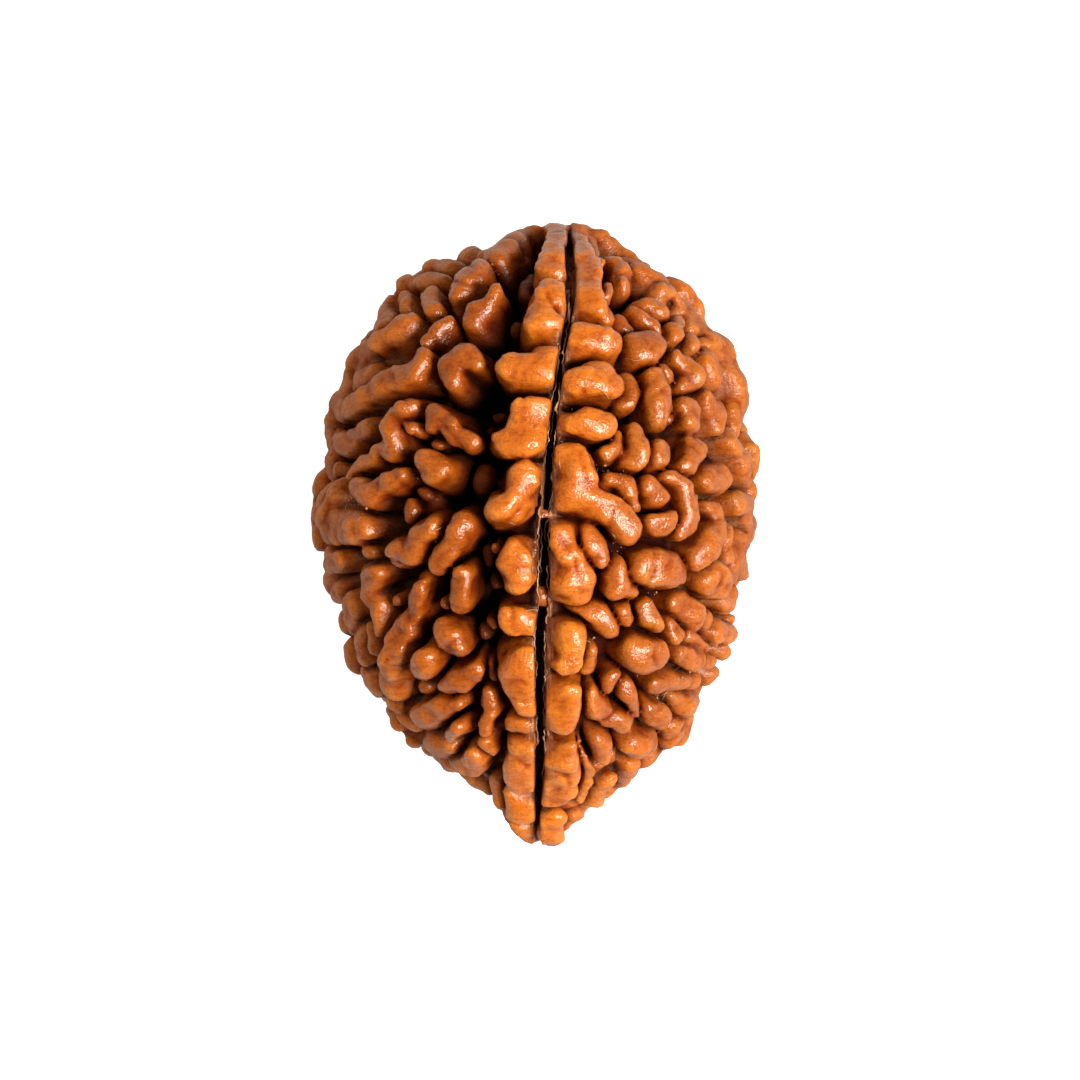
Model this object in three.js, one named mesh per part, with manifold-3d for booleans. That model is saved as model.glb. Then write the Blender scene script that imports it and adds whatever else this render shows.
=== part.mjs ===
// A two mukhi rudraksha bead: the stone of one rudraksha fruit, with two clefts that run pole to pole.
// All sizes are in millimetres.
// The bead lies on its back. X is across it, Y runs from its pointed end to its blunt end,
// and Z is up, from the surface that it lies on.

import * as THREE from "three";
import { ConvexHull } from "three/addons/math/ConvexHull.js";
import { mergeVertices } from "three/addons/utils/BufferGeometryUtils.js";
import Module from "manifold-3d";

// Driving dimensions
const LENGTH = 24.8; // pointed end to blunt end, over the knobs
const WIDTH = 17.7; // side to side, over the knobs
const DEPTH = 17.2; // back to front, over the knobs
const KNOB = 0.45; // radius of an ordinary knob
const FLOOR = 0.6; // depth of the grooves' floor below the knobs' centres
const CLEFT_TOP = 0.62; // width of a cleft at its mouth
const CLEFT_BOTTOM = 0.26; // width of a cleft at its bottom
const CLEFT_DEPTH = 1.5; // depth of a cleft below the knobs' centres
const CANAL = 0.7; // diameter of the canal that a string goes through
const WORN = 0.3; // how much is worn off the lowest knobs, which the bead lies on
const SPACING = 0.38; // closest distance between two points of the surface
const SPREAD = 16000; // places tried for the points between the knobs
const STATIONS = 72; // stations round the ring of the two clefts
const GRID = 0.001; // all points of the finished bead lie on a grid as fine as this

// Where the knobs' centres sit at each height along the bead: Y, middle X, half width.
const SEAT = [
  [-12.05, 0.05, 0.0],
  [-11.6, 0.1, 0.62],
  [-10.6, 0.3, 1.55],
  [-9.6, 0.3, 2.75],
  [-8.6, 0.0, 4.05],
  [-7.6, 0.1, 5.25],
  [-6.6, 0.05, 5.8],
  [-5.6, 0.1, 6.4],
  [-4.6, -0.15, 7.05],
  [-3.6, -0.1, 7.3],
  [-2.6, -0.2, 7.55],
  [-1.6, -0.15, 7.95],
  [-0.6, -0.1, 8.2],
  [0.4, -0.2, 8.35],
  [1.4, -0.2, 8.3],
  [2.4, 0.0, 8.2],
  [3.4, -0.05, 8.05],
  [4.4, -0.2, 7.95],
  [5.4, -0.1, 7.75],
  [6.4, 0.05, 7.35],
  [7.4, 0.0, 6.95],
  [8.4, 0.0, 6.2],
  [9.4, 0.0, 5.4],
  [10.4, 0.05, 4.15],
  [11.4, 0.4, 2.15],
  [11.8, 0.5, 1.2],
  [12.0, 0.55, 0.0],
];

// The line of a cleft on the bead's face: Y, X.
const CLEFT_LINE = [
  [-12.4, -0.02],
  [-11.3, -0.1],
  [-10, -0.05],
  [-8, 0.0],
  [-4, 0.0],
  [-2.5, 0.15],
  [0.5, 0.15],
  [1.5, 0.3],
  [3, 0.37],
  [5, 0.57],
  [7, 0.8],
  [8, 0.97],
  [9, 1.15],
  [10.5, 1.2],
  [11.5, 1.15],
  [12.4, 1.05],
];

// The face's knobs and ridges, as seen from above. Each row is one of them: its lift above the seat,
// then X, Y and radius at each bend along it.
// The left row of teeth, beside the cleft, from the blunt end to the pointed one.
const LEFT_TEETH = [
  [0.2, [0.5, 11.95, 0.3], [0.52, 11.45, 0.4], [0.5, 10.9, 0.46], [0.43, 10.4, 0.54]],
  [0.3, [0.35, 9.35, 0.5], [0.25, 8.85, 0.55], [0.02, 8.2, 0.66]],
  [0.3, [0.05, 6.95, 0.46], [-0.15, 6.35, 0.62], [-0.9, 6.6, 0.62], [-1.3, 6.6, 0.42]],
  [0.3, [-0.4, 4.95, 0.56], [-0.62, 4.3, 0.66], [-0.7, 3.65, 0.6], [-1.25, 3.62, 0.62]],
  [0.3, [-0.68, 2.42, 0.6], [-0.75, 1.7, 0.5], [-0.85, 1.05, 0.58], [-1.5, 1.02, 0.6]],
  [0.3, [-0.8, -0.55, 0.5], [-1.05, -1.15, 0.68], [-0.8, -1.75, 0.5]],
  [0.3, [-0.72, -3.2, 0.48], [-1.15, -3.15, 0.54]],
  [0.3, [-0.62, -4.45, 0.38], [-0.95, -5.15, 0.66], [-0.88, -5.8, 0.58], [-0.6, -6.55, 0.36]],
  [-0.1, [-1.1, -7.35, 0.4], [-0.75, -7.4, 0.36]],
  [0.25, [-0.7, -8.1, 0.4], [-0.78, -8.8, 0.48], [-0.68, -9.5, 0.4]],
  [0.15, [-1.05, -9.9, 0.28], [-0.74, -10.35, 0.4], [-0.6, -10.8, 0.4]],
  [0.1, [-0.55, -11.3, 0.38], [-0.32, -11.85, 0.32]],
];
// The right row of teeth.
const RIGHT_TEETH = [
  [
    0.2, [1.5, 11.9, 0.28], [1.6, 11.4, 0.32], [1.72, 10.8, 0.4], [1.85, 10.2, 0.48],
    [1.95, 9.6, 0.52], [2.05, 9, 0.6], [2.3, 8.8, 0.5],
  ],
  [0.1, [1.95, 11.6, 0.22], [2.2, 11.1, 0.24], [2.32, 10.65, 0.22]],
  [0.1, [2.55, 8.75, 0.3], [2.65, 8.45, 0.3]],
  [0.05, [2.62, 9.7, 0.28], [2.6, 9.3, 0.28]],
  [0.25, [1.5, 7.55, 0.46], [2.1, 7.55, 0.5], [2.62, 7.35, 0.48]],
  [0.3, [1.6, 5.85, 0.66], [2.15, 5.95, 0.74], [2.55, 5.75, 0.52]],
  [0.3, [1.25, 4.25, 0.42], [1.9, 4.25, 0.56], [2.5, 4.22, 0.55]],
  [
    0.3, [1.2, 3.05, 0.55], [1.45, 2.35, 0.66], [1.4, 1.55, 0.62], [2.2, 1.15, 0.5],
    [2.95, 0.75, 0.46], [3.3, 0.2, 0.4],
  ],
  [0.3, [1, 0.1, 0.44], [1.15, -0.7, 0.56], [1.4, -1.5, 0.66], [1.35, -2.15, 0.58]],
  [0.05, [1.9, 0.2, 0.34], [2.1, -0.4, 0.4], [2.32, -0.85, 0.3]],
  [0.3, [1.1, -3.8, 0.56], [1.02, -4.7, 0.56]],
  [0, [1.5, -2.95, 0.34], [2.15, -3.1, 0.48], [2.6, -3.6, 0.58]],
  [0.1, [3.22, -2.75, 0.26], [3.12, -3.3, 0.36]],
  [0, [1.8, -4.6, 0.36], [1.75, -5.15, 0.38]],
  [0.3, [1.05, -5.95, 0.58], [0.98, -6.6, 0.56], [0.8, -7.2, 0.48]],
  [0.25, [1.1, -8.1, 0.46], [0.98, -8.75, 0.66], [0.92, -9.4, 0.62], [0.8, -10.05, 0.5]],
  [0.05, [1.52, -8.1, 0.22], [1.68, -8.9, 0.28], [1.7, -9.6, 0.28], [1.6, -10.2, 0.26]],
  [0.15, [0.68, -11, 0.5], [0.5, -11.5, 0.48], [0.38, -11.95, 0.4]],
  [0, [1.28, -11, 0.24]],
];
// The knobs and winding ridges on the left of the face.
const LEFT_FACE = [
  // round end down to the shoulder
  [0, [-0.35, 12, 0.22], [-0.9, 11.55, 0.3], [-1.4, 11.1, 0.42], [-1.75, 10.8, 0.48]],
  [-0.25, [-1.65, 11.3, 0.36], [-2.05, 11.15, 0.34]],
  [0, [-2.45, 10.4, 0.48], [-2.85, 10, 0.66], [-3.2, 9.55, 0.48]],
  [0, [-1.75, 9.4, 0.36], [-2.3, 9, 0.48], [-2.7, 8.55, 0.5]],
  [-0.1, [-4.1, 10.6, 0.38], [-3.4, 10.55, 0.34]],
  [-0.05, [-5.6, 9.3, 0.4], [-5.1, 9.8, 0.36], [-4.4, 9.95, 0.34], [-3.9, 9.95, 0.3]],
  [-0.05, [-4.25, 9.5, 0.32], [-4.2, 9, 0.38]],
  [-0.1, [-5.25, 9.35, 0.3], [-5.2, 9, 0.28]],
  [0, [-5.75, 9.25, 0.38], [-6, 8.6, 0.4], [-5.95, 8.05, 0.36]],
  [
    0, [-4.75, 8.55, 0.32], [-5.15, 8.15, 0.38], [-5.5, 7.7, 0.36], [-6.2, 7.45, 0.4],
    [-6.9, 7.2, 0.48], [-7.2, 6.8, 0.48],
  ],
  [-0.05, [-7.25, 6.3, 0.42], [-7.4, 5.8, 0.36]],
  [-0.1, [-3.6, 8.5, 0.26], [-4.05, 8, 0.32], [-4.5, 7.55, 0.3]],
  [
    0.05, [-4.55, 7.05, 0.42], [-4.8, 6.45, 0.46], [-5.45, 6.15, 0.4], [-6.15, 5.8, 0.42],
    [-6.7, 5.45, 0.36], [-7.3, 5.15, 0.36], [-7.95, 4.95, 0.45],
  ],
  [0, [-8.05, 4.65, 0.5]],
  [0.05, [-2.45, 6.75, 0.36], [-2.95, 7.1, 0.46], [-3.5, 6.75, 0.48], [-3.4, 6.05, 0.46]],
  [
    0.05, [-5.05, 5.05, 0.38], [-5.45, 4.6, 0.44], [-5.8, 4.05, 0.4], [-5.7, 3.5, 0.4],
    [-6.35, 3.3, 0.26], [-6.85, 2.75, 0.24], [-7.25, 2.35, 0.22],
  ],
  [0.05, [-5.45, 4.5, 0.36], [-4.95, 4.4, 0.34]],
  [
    -0.05, [-4.2, 4.4, 0.26], [-4.15, 4.85, 0.34], [-3.65, 4.6, 0.38], [-3.25, 4.1, 0.42],
    [-2.75, 3.85, 0.34],
  ],
  [0.1, [-4.35, 3, 0.52], [-3.9, 2.75, 0.56], [-4.2, 2.3, 0.42]],
  [-0.6, [-4.3, 3.7, 0.36]],
  [0.05, [-7.05, 1.85, 0.42], [-6.55, 1.6, 0.48], [-6, 2.1, 0.4], [-5.55, 2.4, 0.42]],
  [-0.05, [-6.8, 4.3, 0.32], [-7.1, 3.95, 0.34], [-7.75, 3.7, 0.36], [-8.2, 3.6, 0.36]],
  [-0.05, [-7.9, 2.7, 0.28], [-8.45, 2.1, 0.36], [-8.6, 1.5, 0.4]],
  [0, [-7.75, 1.95, 0.34], [-8, 1.25, 0.52], [-8.25, 0.45, 0.62], [-7.5, 0.3, 0.48], [-6.75, 0.35, 0.46]],
  [-0.45, [-5.25, 1.35, 0.28], [-5.35, 0.85, 0.26]],
  [-0.7, [-4.85, 1.75, 0.34]],
  [0.1, [-5.55, -0.6, 0.58], [-5.05, -0.55, 0.6], [-4.7, 0.05, 0.46], [-4.25, 0.45, 0.34]],
  [0.05, [-4.1, -1.1, 0.44], [-3.8, -0.7, 0.42], [-3.4, -0.25, 0.38], [-3.1, 0.55, 0.44]],
  [
    0, [-6.55, -1.35, 0.46], [-6.75, -1.55, 0.42], [-6.65, -2.15, 0.26], [-6.3, -2.65, 0.36],
    [-6.2, -3.2, 0.28], [-6.15, -3.7, 0.22],
  ],
  [-0.3, [-6.7, -0.6, 0.34]],
  [0, [-8.15, -0.92, 0.4], [-7.7, -0.92, 0.34]],
  [-0.05, [-8.05, -1.9, 0.44], [-7.7, -2.1, 0.36]],
  [0, [-7.3, -2.7, 0.46], [-7.3, -3, 0.46]],
  [-0.15, [-5.7, -2.55, 0.28]],
  [
    0.05, [-4.68, -1.8, 0.3], [-4.85, -2.4, 0.4], [-4.95, -3, 0.34], [-5.3, -3.45, 0.42],
    [-5.6, -3.95, 0.38], [-5.6, -4.6, 0.36], [-5.85, -5.15, 0.48], [-5.65, -5.85, 0.52],
  ],
  [0.05, [-4.42, -4.5, 0.4], [-4.5, -4.95, 0.48]],
  [0, [-3.1, -1.55, 0.42], [-3.1, -2.1, 0.46], [-2.98, -2.65, 0.42]],
  [-0.4, [-3.85, -2.7, 0.28]],
  [0.05, [-3.8, -3.65, 0.44], [-3.45, -4.1, 0.5], [-3.2, -4.25, 0.4]],
  [0.05, [-3.45, -5.9, 0.46], [-2.9, -5.7, 0.5], [-2.45, -5.4, 0.38]],
  [-0.3, [-2, -5.25, 0.28], [-1.92, -5.85, 0.28]],
  [-0.1, [-6.62, -3.6, 0.22], [-6.6, -4.2, 0.32], [-6.3, -4.65, 0.26]],
  [0, [-7.35, -4.45, 0.44], [-7.05, -4.85, 0.38]],
  [-0.2, [-7.3, -3.8, 0.3]],
  [-0.55, [-4.3, -6.3, 0.34]],
  [0, [-4.3, -7, 0.46], [-3.75, -6.8, 0.44], [-3.25, -6.6, 0.34]],
  [0, [-3.55, -7.68, 0.34], [-3, -7.45, 0.38]],
  [0, [-4.15, -8.15, 0.48], [-3.75, -8.2, 0.44]],
  [0, [-5.6, -6.85, 0.44], [-5.4, -7.35, 0.4], [-4.95, -8.05, 0.34]],
  [-0.1, [-5.8, -6.35, 0.34]],
  [0, [-2.1, -6.3, 0.32], [-2.05, -7, 0.32], [-2.15, -7.65, 0.24]],
  [-0.05, [-2.1, -8, 0.26], [-1.82, -8.45, 0.26]],
  [0.1, [-2.5, -8.5, 0.46], [-2.62, -8.95, 0.56]],
  [-0.15, [-3.15, -9, 0.32]],
  [-0.1, [-1.62, -9.6, 0.32], [-1.38, -10.35, 0.28], [-1.12, -11.15, 0.28]],
  // small knobs deep in the hollow beside the teeth
  [-1.1, [-0.4, 10.9, 0.34], [-0.45, 10.2, 0.34]],
  [-1.3, [-1, 8.8, 0.38]],
  [-1.4, [-0.95, 7.4, 0.3]],
  [-1.3, [-1.7, 4.95, 0.34]],
  [-1.5, [-2.1, 4.2, 0.3]],
  [-1.3, [-2.4, 2.5, 0.44], [-2.45, 2, 0.38]],
  [-1, [-2.2, -0.6, 0.36], [-2.15, -1.15, 0.32]],
  [-1.1, [-1.85, -2.15, 0.36]],
  [-0.4, [-1.85, -3.5, 0.3]],
  [-1, [-2.4, -4, 0.44]],
  [-0.3, [-1.65, -0.45, 0.34]],
];
// The knobs and winding ridges on the right of the face.
const RIGHT_FACE = [
  [0, [2.1, 11.75, 0.26], [2.6, 11.35, 0.28], [3.2, 11.05, 0.28], [3.75, 10.75, 0.28]],
  [0.05, [2.5, 10.85, 0.32], [3, 10.6, 0.34], [3.28, 10.15, 0.3], [3.35, 9.75, 0.28]],
  [-0.05, [4.2, 10.6, 0.28]],
  [0.05, [3.75, 10.3, 0.34], [4.2, 10.05, 0.4], [4.7, 9.85, 0.36], [4.78, 9.45, 0.36]],
  [0, [5.15, 9.85, 0.36], [5.5, 9.75, 0.42], [5.55, 9.4, 0.32]],
  [0, [4.05, 9, 0.28], [4.5, 8.8, 0.34], [4.85, 8.6, 0.3]],
  [0.05, [5.3, 8.35, 0.36], [5.15, 8, 0.42]],
  [0, [5.4, 8.9, 0.28], [5.8, 8.65, 0.34], [5.85, 8.2, 0.32]],
  [0, [6.15, 8.95, 0.24], [6.2, 8.5, 0.24]],
  [0.05, [3.75, 7.35, 0.52], [4.25, 7.45, 0.56]],
  [-0.35, [3.2, 8.45, 0.34], [3.6, 8.15, 0.3]],
  [-0.1, [3.65, 8.75, 0.18], [4.15, 8.35, 0.2], [4.6, 8.1, 0.2]],
  [0, [6.5, 7.75, 0.38], [6.95, 7.45, 0.46]],
  [-0.05, [5.75, 7.7, 0.24], [5.9, 7.35, 0.28]],
  [0.05, [6.5, 6.65, 0.52], [6.7, 6.45, 0.5]],
  [-0.05, [6.3, 7.6, 0.16], [6.85, 7.1, 0.2], [7.25, 6.75, 0.22]],
  [-0.15, [4.8, 6.8, 0.2], [5.05, 6.45, 0.26]],
  [0.05, [5.25, 6.95, 0.24], [5.65, 6.75, 0.32], [5.8, 6.3, 0.34], [5.6, 5.98, 0.26]],
  [0.05, [4.3, 6.4, 0.3], [4.5, 5.8, 0.38], [4.55, 5.2, 0.42], [4.6, 4.65, 0.34]],
  [-0.45, [3.4, 6.3, 0.3], [3.5, 5.75, 0.36], [3.35, 5.3, 0.38]],
  [0.05, [5.65, 5.3, 0.34], [5.85, 4.9, 0.38], [5.85, 4.45, 0.34]],
  [-0.45, [5.15, 4.8, 0.22]],
  [0, [7.25, 6.1, 0.44], [7.6, 5.7, 0.52], [7.65, 5.25, 0.46]],
  [0, [6.5, 5.45, 0.28], [6.85, 4.95, 0.46], [6.85, 4.35, 0.44]],
  [-0.05, [7.5, 4.8, 0.36], [7.55, 4.25, 0.34]],
  [0.1, [3.65, 3.95, 0.44], [3.7, 3.4, 0.5], [3.35, 2.95, 0.42]],
  [0, [3, 3.95, 0.34], [2.9, 3.5, 0.34], [2.55, 3.2, 0.34]],
  [0.05, [4.6, 3.5, 0.42], [4.5, 3, 0.42]],
  [0, [5.8, 3.8, 0.24], [6.05, 3.4, 0.4], [5.65, 2.85, 0.28], [5.45, 2.7, 0.24]],
  [0, [7.25, 4.05, 0.24], [7.35, 3.45, 0.3], [7.8, 2.95, 0.3], [8.15, 2.6, 0.3]],
  [-0.05, [7.9, 3.8, 0.26], [8.25, 3.25, 0.3], [8.35, 2.75, 0.3]],
  [0.05, [6.45, 2.2, 0.52], [6.95, 2.15, 0.5]],
  [0, [4.05, 1.85, 0.38], [4.5, 1.5, 0.42]],
  [0.05, [4.25, 0.5, 0.36], [4.8, 0.48, 0.4]],
  [
    0.05, [4.8, 2.3, 0.24], [5.3, 2.1, 0.28], [5.6, 1.6, 0.3], [5.7, 1, 0.32], [5.55, 0.5, 0.3],
    [5.3, 0.2, 0.24],
  ],
  [-0.1, [6, 1.5, 0.2], [6.02, 1.15, 0.2]],
  [-0.15, [2.7, 2.2, 0.24], [3.15, 2.05, 0.28], [3.45, 1.6, 0.26], [3.55, 1.15, 0.22]],
  [-0.45, [2.5, 1.85, 0.3]],
  [
    0.05, [6.4, 1.2, 0.2], [6.8, 1.05, 0.24], [6.8, 0.45, 0.34], [6.5, -0.1, 0.46], [6.1, -0.6, 0.42],
    [5.72, -1.05, 0.3],
  ],
  [0, [7.6, 1.3, 0.4], [8, 1.1, 0.48], [8.1, 0.4, 0.46], [8.1, -0.3, 0.44]],
  [-0.05, [7.3, 0.2, 0.24], [7.25, -0.2, 0.24]],
  [0, [7.2, -0.7, 0.28]],
  [0.1, [3.75, -1.3, 0.6], [4.3, -1.25, 0.74], [4.8, -1.3, 0.7], [5.2, -1.35, 0.52]],
  [0.05, [3, -1.2, 0.42], [2.95, -1.9, 0.58], [3.38, -2.1, 0.4]],
  [0, [2.45, -1.55, 0.36], [2.4, -2.1, 0.36]],
  [0.05, [3.88, -2.8, 0.36], [4.1, -3.2, 0.4], [4.35, -3.55, 0.28]],
  [0, [4.98, -3.4, 0.3], [5.08, -3.8, 0.36]],
  [0.05, [5.15, -2.55, 0.42], [5.65, -2.8, 0.4], [5.9, -3.25, 0.34]],
  [0, [6.4, -1.6, 0.54], [6.9, -1.75, 0.58]],
  [0, [7.9, -1, 0.46], [7.85, -1.4, 0.46]],
  [0.1, [3.55, -4.55, 0.66], [4.25, -4.6, 0.68]],
  [0.05, [5.4, -4.6, 0.34], [5.9, -4.75, 0.38], [6.4, -4.78, 0.26]],
  [-0.05, [5.6, -3.95, 0.18], [6, -4.2, 0.2], [6.5, -4.52, 0.18]],
  [0, [4.4, -5.8, 0.34], [5.1, -5.7, 0.4], [5.85, -5.7, 0.36]],
  [0, [6.55, -5.5, 0.4]],
  [-0.1, [6.35, -3.25, 0.3]],
  [-0.15, [6.6, -3.7, 0.24], [6.95, -4.2, 0.24]],
  [0, [7.35, -3.3, 0.36]],
  [-0.05, [7.25, -4, 0.3], [7.1, -4.6, 0.3]],
  [0, [7.2, -2.5, 0.36]],
  [-0.05, [5.25, -6.4, 0.38], [5.7, -6.7, 0.38]],
  [-0.05, [5.75, -7.25, 0.32], [5.5, -7.8, 0.32]],
  [0, [4.3, -6.9, 0.34], [4.65, -7.15, 0.34]],
  [0, [5.05, -7.25, 0.34], [5.05, -7.85, 0.42]],
  [0.05, [3.5, -8.1, 0.48], [4.15, -8.2, 0.48]],
  [0, [3.3, -9.05, 0.38], [3.28, -9.48, 0.36]],
  [0.05, [2.2, -7.9, 0.42], [2.35, -8.45, 0.42]],
  [0, [2.4, -9.6, 0.4], [2.15, -10.2, 0.38]],
  [
    0.1, [1.95, -6.1, 0.38], [2.05, -6.7, 0.44], [2.6, -7.05, 0.42], [3.15, -7.25, 0.36],
    [3.6, -7.15, 0.26],
  ],
  [0, [2.85, -5.5, 0.3], [2.55, -5.9, 0.3]],
  [0.05, [3.2, -5.8, 0.3], [3.45, -6.4, 0.3], [3.75, -6.95, 0.26]],
];

// The hollows of the face, beside the left row of teeth and among the ridges: X, Y, radius, depth.
const HOLLOWS = [
  [-1, 10.2, 1, 1.8],
  [-1.3, 9.2, 0.9, 2.4],
  [-1.9, 7.6, 1.2, 2.6],
  [-2.2, 5.5, 1.3, 2.7],
  [-4.2, 5.6, 0.9, 1.6],
  [-2.4, 3.2, 1.2, 2.7],
  [-5, 3.4, 0.8, 1.6],
  [-2.6, 1.6, 1, 2.4],
  [-5.7, 1, 1, 1.7],
  [-2.1, -0.4, 0.9, 2.4],
  [-2.1, -1.8, 0.9, 2.2],
  [-4.2, -2.1, 0.9, 1.8],
  [-5.4, -1.8, 0.8, 1.7],
  [-2.2, -3, 0.9, 2.2],
  [-1.8, -4.4, 0.9, 2],
  [-3.3, -5, 0.9, 1.9],
  [-4.5, -5.8, 0.9, 1.6],
  [3.4, 4.8, 0.7, 1.6],
  [5.2, 4.2, 0.5, 1.4],
  [3.2, 9.1, 0.6, 1.3],
  [2.4, 0.4, 0.4, 1.2],
];

// The value at y in rows of [y, value, ...], straight between the rows.
function along(rows, y, column) {
  const last = rows.length - 1;
  if (y <= rows[0][0]) return rows[0][column];
  if (y >= rows[last][0]) return rows[last][column];
  const i = rows.findIndex((row) => row[0] >= y);
  const [a, b] = [rows[i - 1], rows[i]];
  return THREE.MathUtils.mapLinear(y, a[0], b[0], a[column], b[column]);
}
const middle = (y) => along(SEAT, y, 1);
const halfWidth = (y) => along(SEAT, y, 2);
const halfDepth = (y) => halfWidth(y) * ((DEPTH - 2 * KNOB) / (WIDTH - 2 * KNOB));
const cleft = (y) => along(CLEFT_LINE, y, 1);

// A point of the seat at height y and angle turn round the bead, from +X towards the face.
function seatPoint(y, turn) {
  const x = middle(y) + halfWidth(y) * Math.cos(turn);
  return new THREE.Vector3(x, y, halfDepth(y) * Math.sin(turn));
}

// The seat's outward direction at height y and angle turn.
function seatNormal(y, turn) {
  const step = 0.15;
  const low = Math.max(y - step, SEAT[0][0]);
  const high = Math.min(y + step, SEAT[SEAT.length - 1][0]);
  const slope = (halfWidth(high) - halfWidth(low)) / (high - low);
  const flatness = halfWidth(y) / Math.max(halfDepth(y), 1e-6);
  return new THREE.Vector3(Math.cos(turn), -slope, Math.sin(turn) * flatness).normalize();
}

// Where a knob seen at x, y from above sits: the angle round the bead.
function turnAt(x, y) {
  const across = (x - middle(y)) / Math.max(halfWidth(y), 1e-3);
  return Math.acos(THREE.MathUtils.clamp(across, -1, 1));
}

// The balls that make up one knob or ridge, so close together that they read as one shape.
function knobBalls([lift, ...bends], side) {
  const made = [];
  for (let i = 0; i < bends.length; i += 1) {
    const [a, b] = [bends[Math.max(i - 1, 0)], bends[i]];
    const steps = Math.max(1, Math.ceil(Math.hypot(b[0] - a[0], b[1] - a[1]) / 0.2));
    for (let s = 1; s <= steps; s += 1) {
      const [x, y, r] = [0, 1, 2].map((k) => THREE.MathUtils.lerp(a[k], b[k], s / steps));
      made.push(ballOn(x, y, r, lift, side));
    }
  }
  return made;
}

// One ball, from its place as seen from above. On the back the same knobs run the other way round
// the cleft and drift along the bead, so that the two faces differ.
function ballOn(x, y, radius, lift, side) {
  let [px, py] = [x, y];
  if (side === "back") {
    const [left, right] = [cleft(y) - middle(y) + halfWidth(y), middle(y) + halfWidth(y) - cleft(y)];
    const share = x < cleft(y) ? (x - cleft(y)) / left : (x - cleft(y)) / right;
    py = THREE.MathUtils.clamp(y + 0.5 * Math.sin(1.3 * y + 0.8), -11.9, 11.9);
    const [newLeft, newRight] = [
      cleft(py) - middle(py) + halfWidth(py),
      middle(py) + halfWidth(py) - cleft(py),
    ];
    px = cleft(py) - share * (share > 0 ? newLeft : newRight);
  }
  const turn = turnAt(px, py) * (side === "back" ? -1 : 1);
  const centre = seatPoint(py, turn);
  centre.x = px;
  centre.addScaledVector(seatNormal(py, turn), lift - 0.6 * (radius - KNOB));
  return { centre, radius, y: py, turn };
}
const balls = [];
const rowsOfKnobs = [...LEFT_TEETH, ...RIGHT_TEETH, ...LEFT_FACE, ...RIGHT_FACE];
for (const row of rowsOfKnobs) balls.push(...knobBalls(row, "face"));
for (const row of rowsOfKnobs) {
  const [x, y] = row[1];
  const reach = Math.abs(x - middle(y)) / Math.max(halfWidth(y), 0.1);
  if (reach < 0.95) balls.push(...knobBalls(row, "back"));
}

// The flanks, which turn away from both faces, are filled with short ridges drawn at random,
// wherever no knob is near. The draw has a fixed seed, so that it always comes out the same.
let seed = 5;
function random() {
  seed = (seed * 16807) % 2147483647;
  return seed / 2147483647;
}
for (let i = 0; i < 4000; i += 1) {
  const y = THREE.MathUtils.lerp(-10.2, 11, random());
  const side = random() < 0.5 ? 0 : Math.PI;
  const turn = side + (random() - 0.5) * 1.5;
  const radius = 0.34 + 0.26 * random();
  const heading = random() * Math.PI;
  const ridge = [-1, 0, 1].map((step) => {
    const py = y + step * 0.4 * Math.sin(heading);
    const pTurn = turn + (step * 0.4 * Math.cos(heading)) / halfWidth(py);
    const centre = seatPoint(py, pTurn);
    centre.addScaledVector(seatNormal(py, pTurn), -0.1 - 0.6 * (radius - KNOB));
    return { centre, radius, y: py, turn: pTurn };
  });
  const apart = (a, b) => a.centre.distanceTo(b.centre) > 0.82 * (a.radius + b.radius);
  if (balls.every((ball) => ridge.every((own) => apart(own, ball)))) balls.push(...ridge);
}

const toBall = new THREE.Vector3();

// How far the outermost ball stands over the seat at a point, or the grooves' floor where none does.
function reliefAt(point, normal, y, turn) {
  let floor = FLOOR;
  for (const [hollowX, hollowY, radius, depth] of HOLLOWS) {
    const away = Math.hypot(point.x - hollowX, y - hollowY) / radius;
    const onFace = Math.sin(turn) > 0;
    if (onFace) floor = Math.max(floor, FLOOR + (depth - FLOOR) * Math.exp(-(away ** 4)));
  }
  let height = -Math.min(floor, 0.3 * halfWidth(y) + 0.1);
  for (const { centre, radius } of balls) {
    if (Math.abs(centre.y - point.y) > 2) continue;
    toBall.subVectors(centre, point);
    const alongNormal = toBall.dot(normal);
    const aside = toBall.lengthSq() - alongNormal * alongNormal;
    if (aside < radius * radius) {
      height = Math.max(height, alongNormal + Math.sqrt(radius * radius - aside));
    }
  }
  return height;
}

// The lengths along the seat's profile, to spread points evenly from end to end.
const profile = [];
let travelled = 0;
for (let i = 0; i <= 400; i += 1) {
  const y = THREE.MathUtils.lerp(SEAT[0][0], SEAT[SEAT.length - 1][0], i / 400);
  const previous = profile[i - 1];
  if (previous) travelled += Math.hypot(y - previous[0], halfWidth(y) - halfWidth(previous[0]));
  profile.push([y, travelled]);
}
const heightFor = profile.map(([y, length]) => [length, y]);

// A place on the bead: its point on the seat, its relief, and its direction on a plain ball,
// where neighbours are found.
function placeAt(y, turn) {
  const seat = seatPoint(y, turn);
  const normal = seatNormal(y, turn);
  const relief = reliefAt(seat, normal, y, turn);
  const tilt = (Math.PI * along(profile, y, 1)) / travelled;
  const direction = new THREE.Vector3(
    Math.sin(tilt) * Math.cos(turn),
    -Math.cos(tilt),
    Math.sin(tilt) * Math.sin(turn),
  );
  return { seat, relief, direction, point: seat.clone().addScaledVector(normal, relief) };
}

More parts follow.
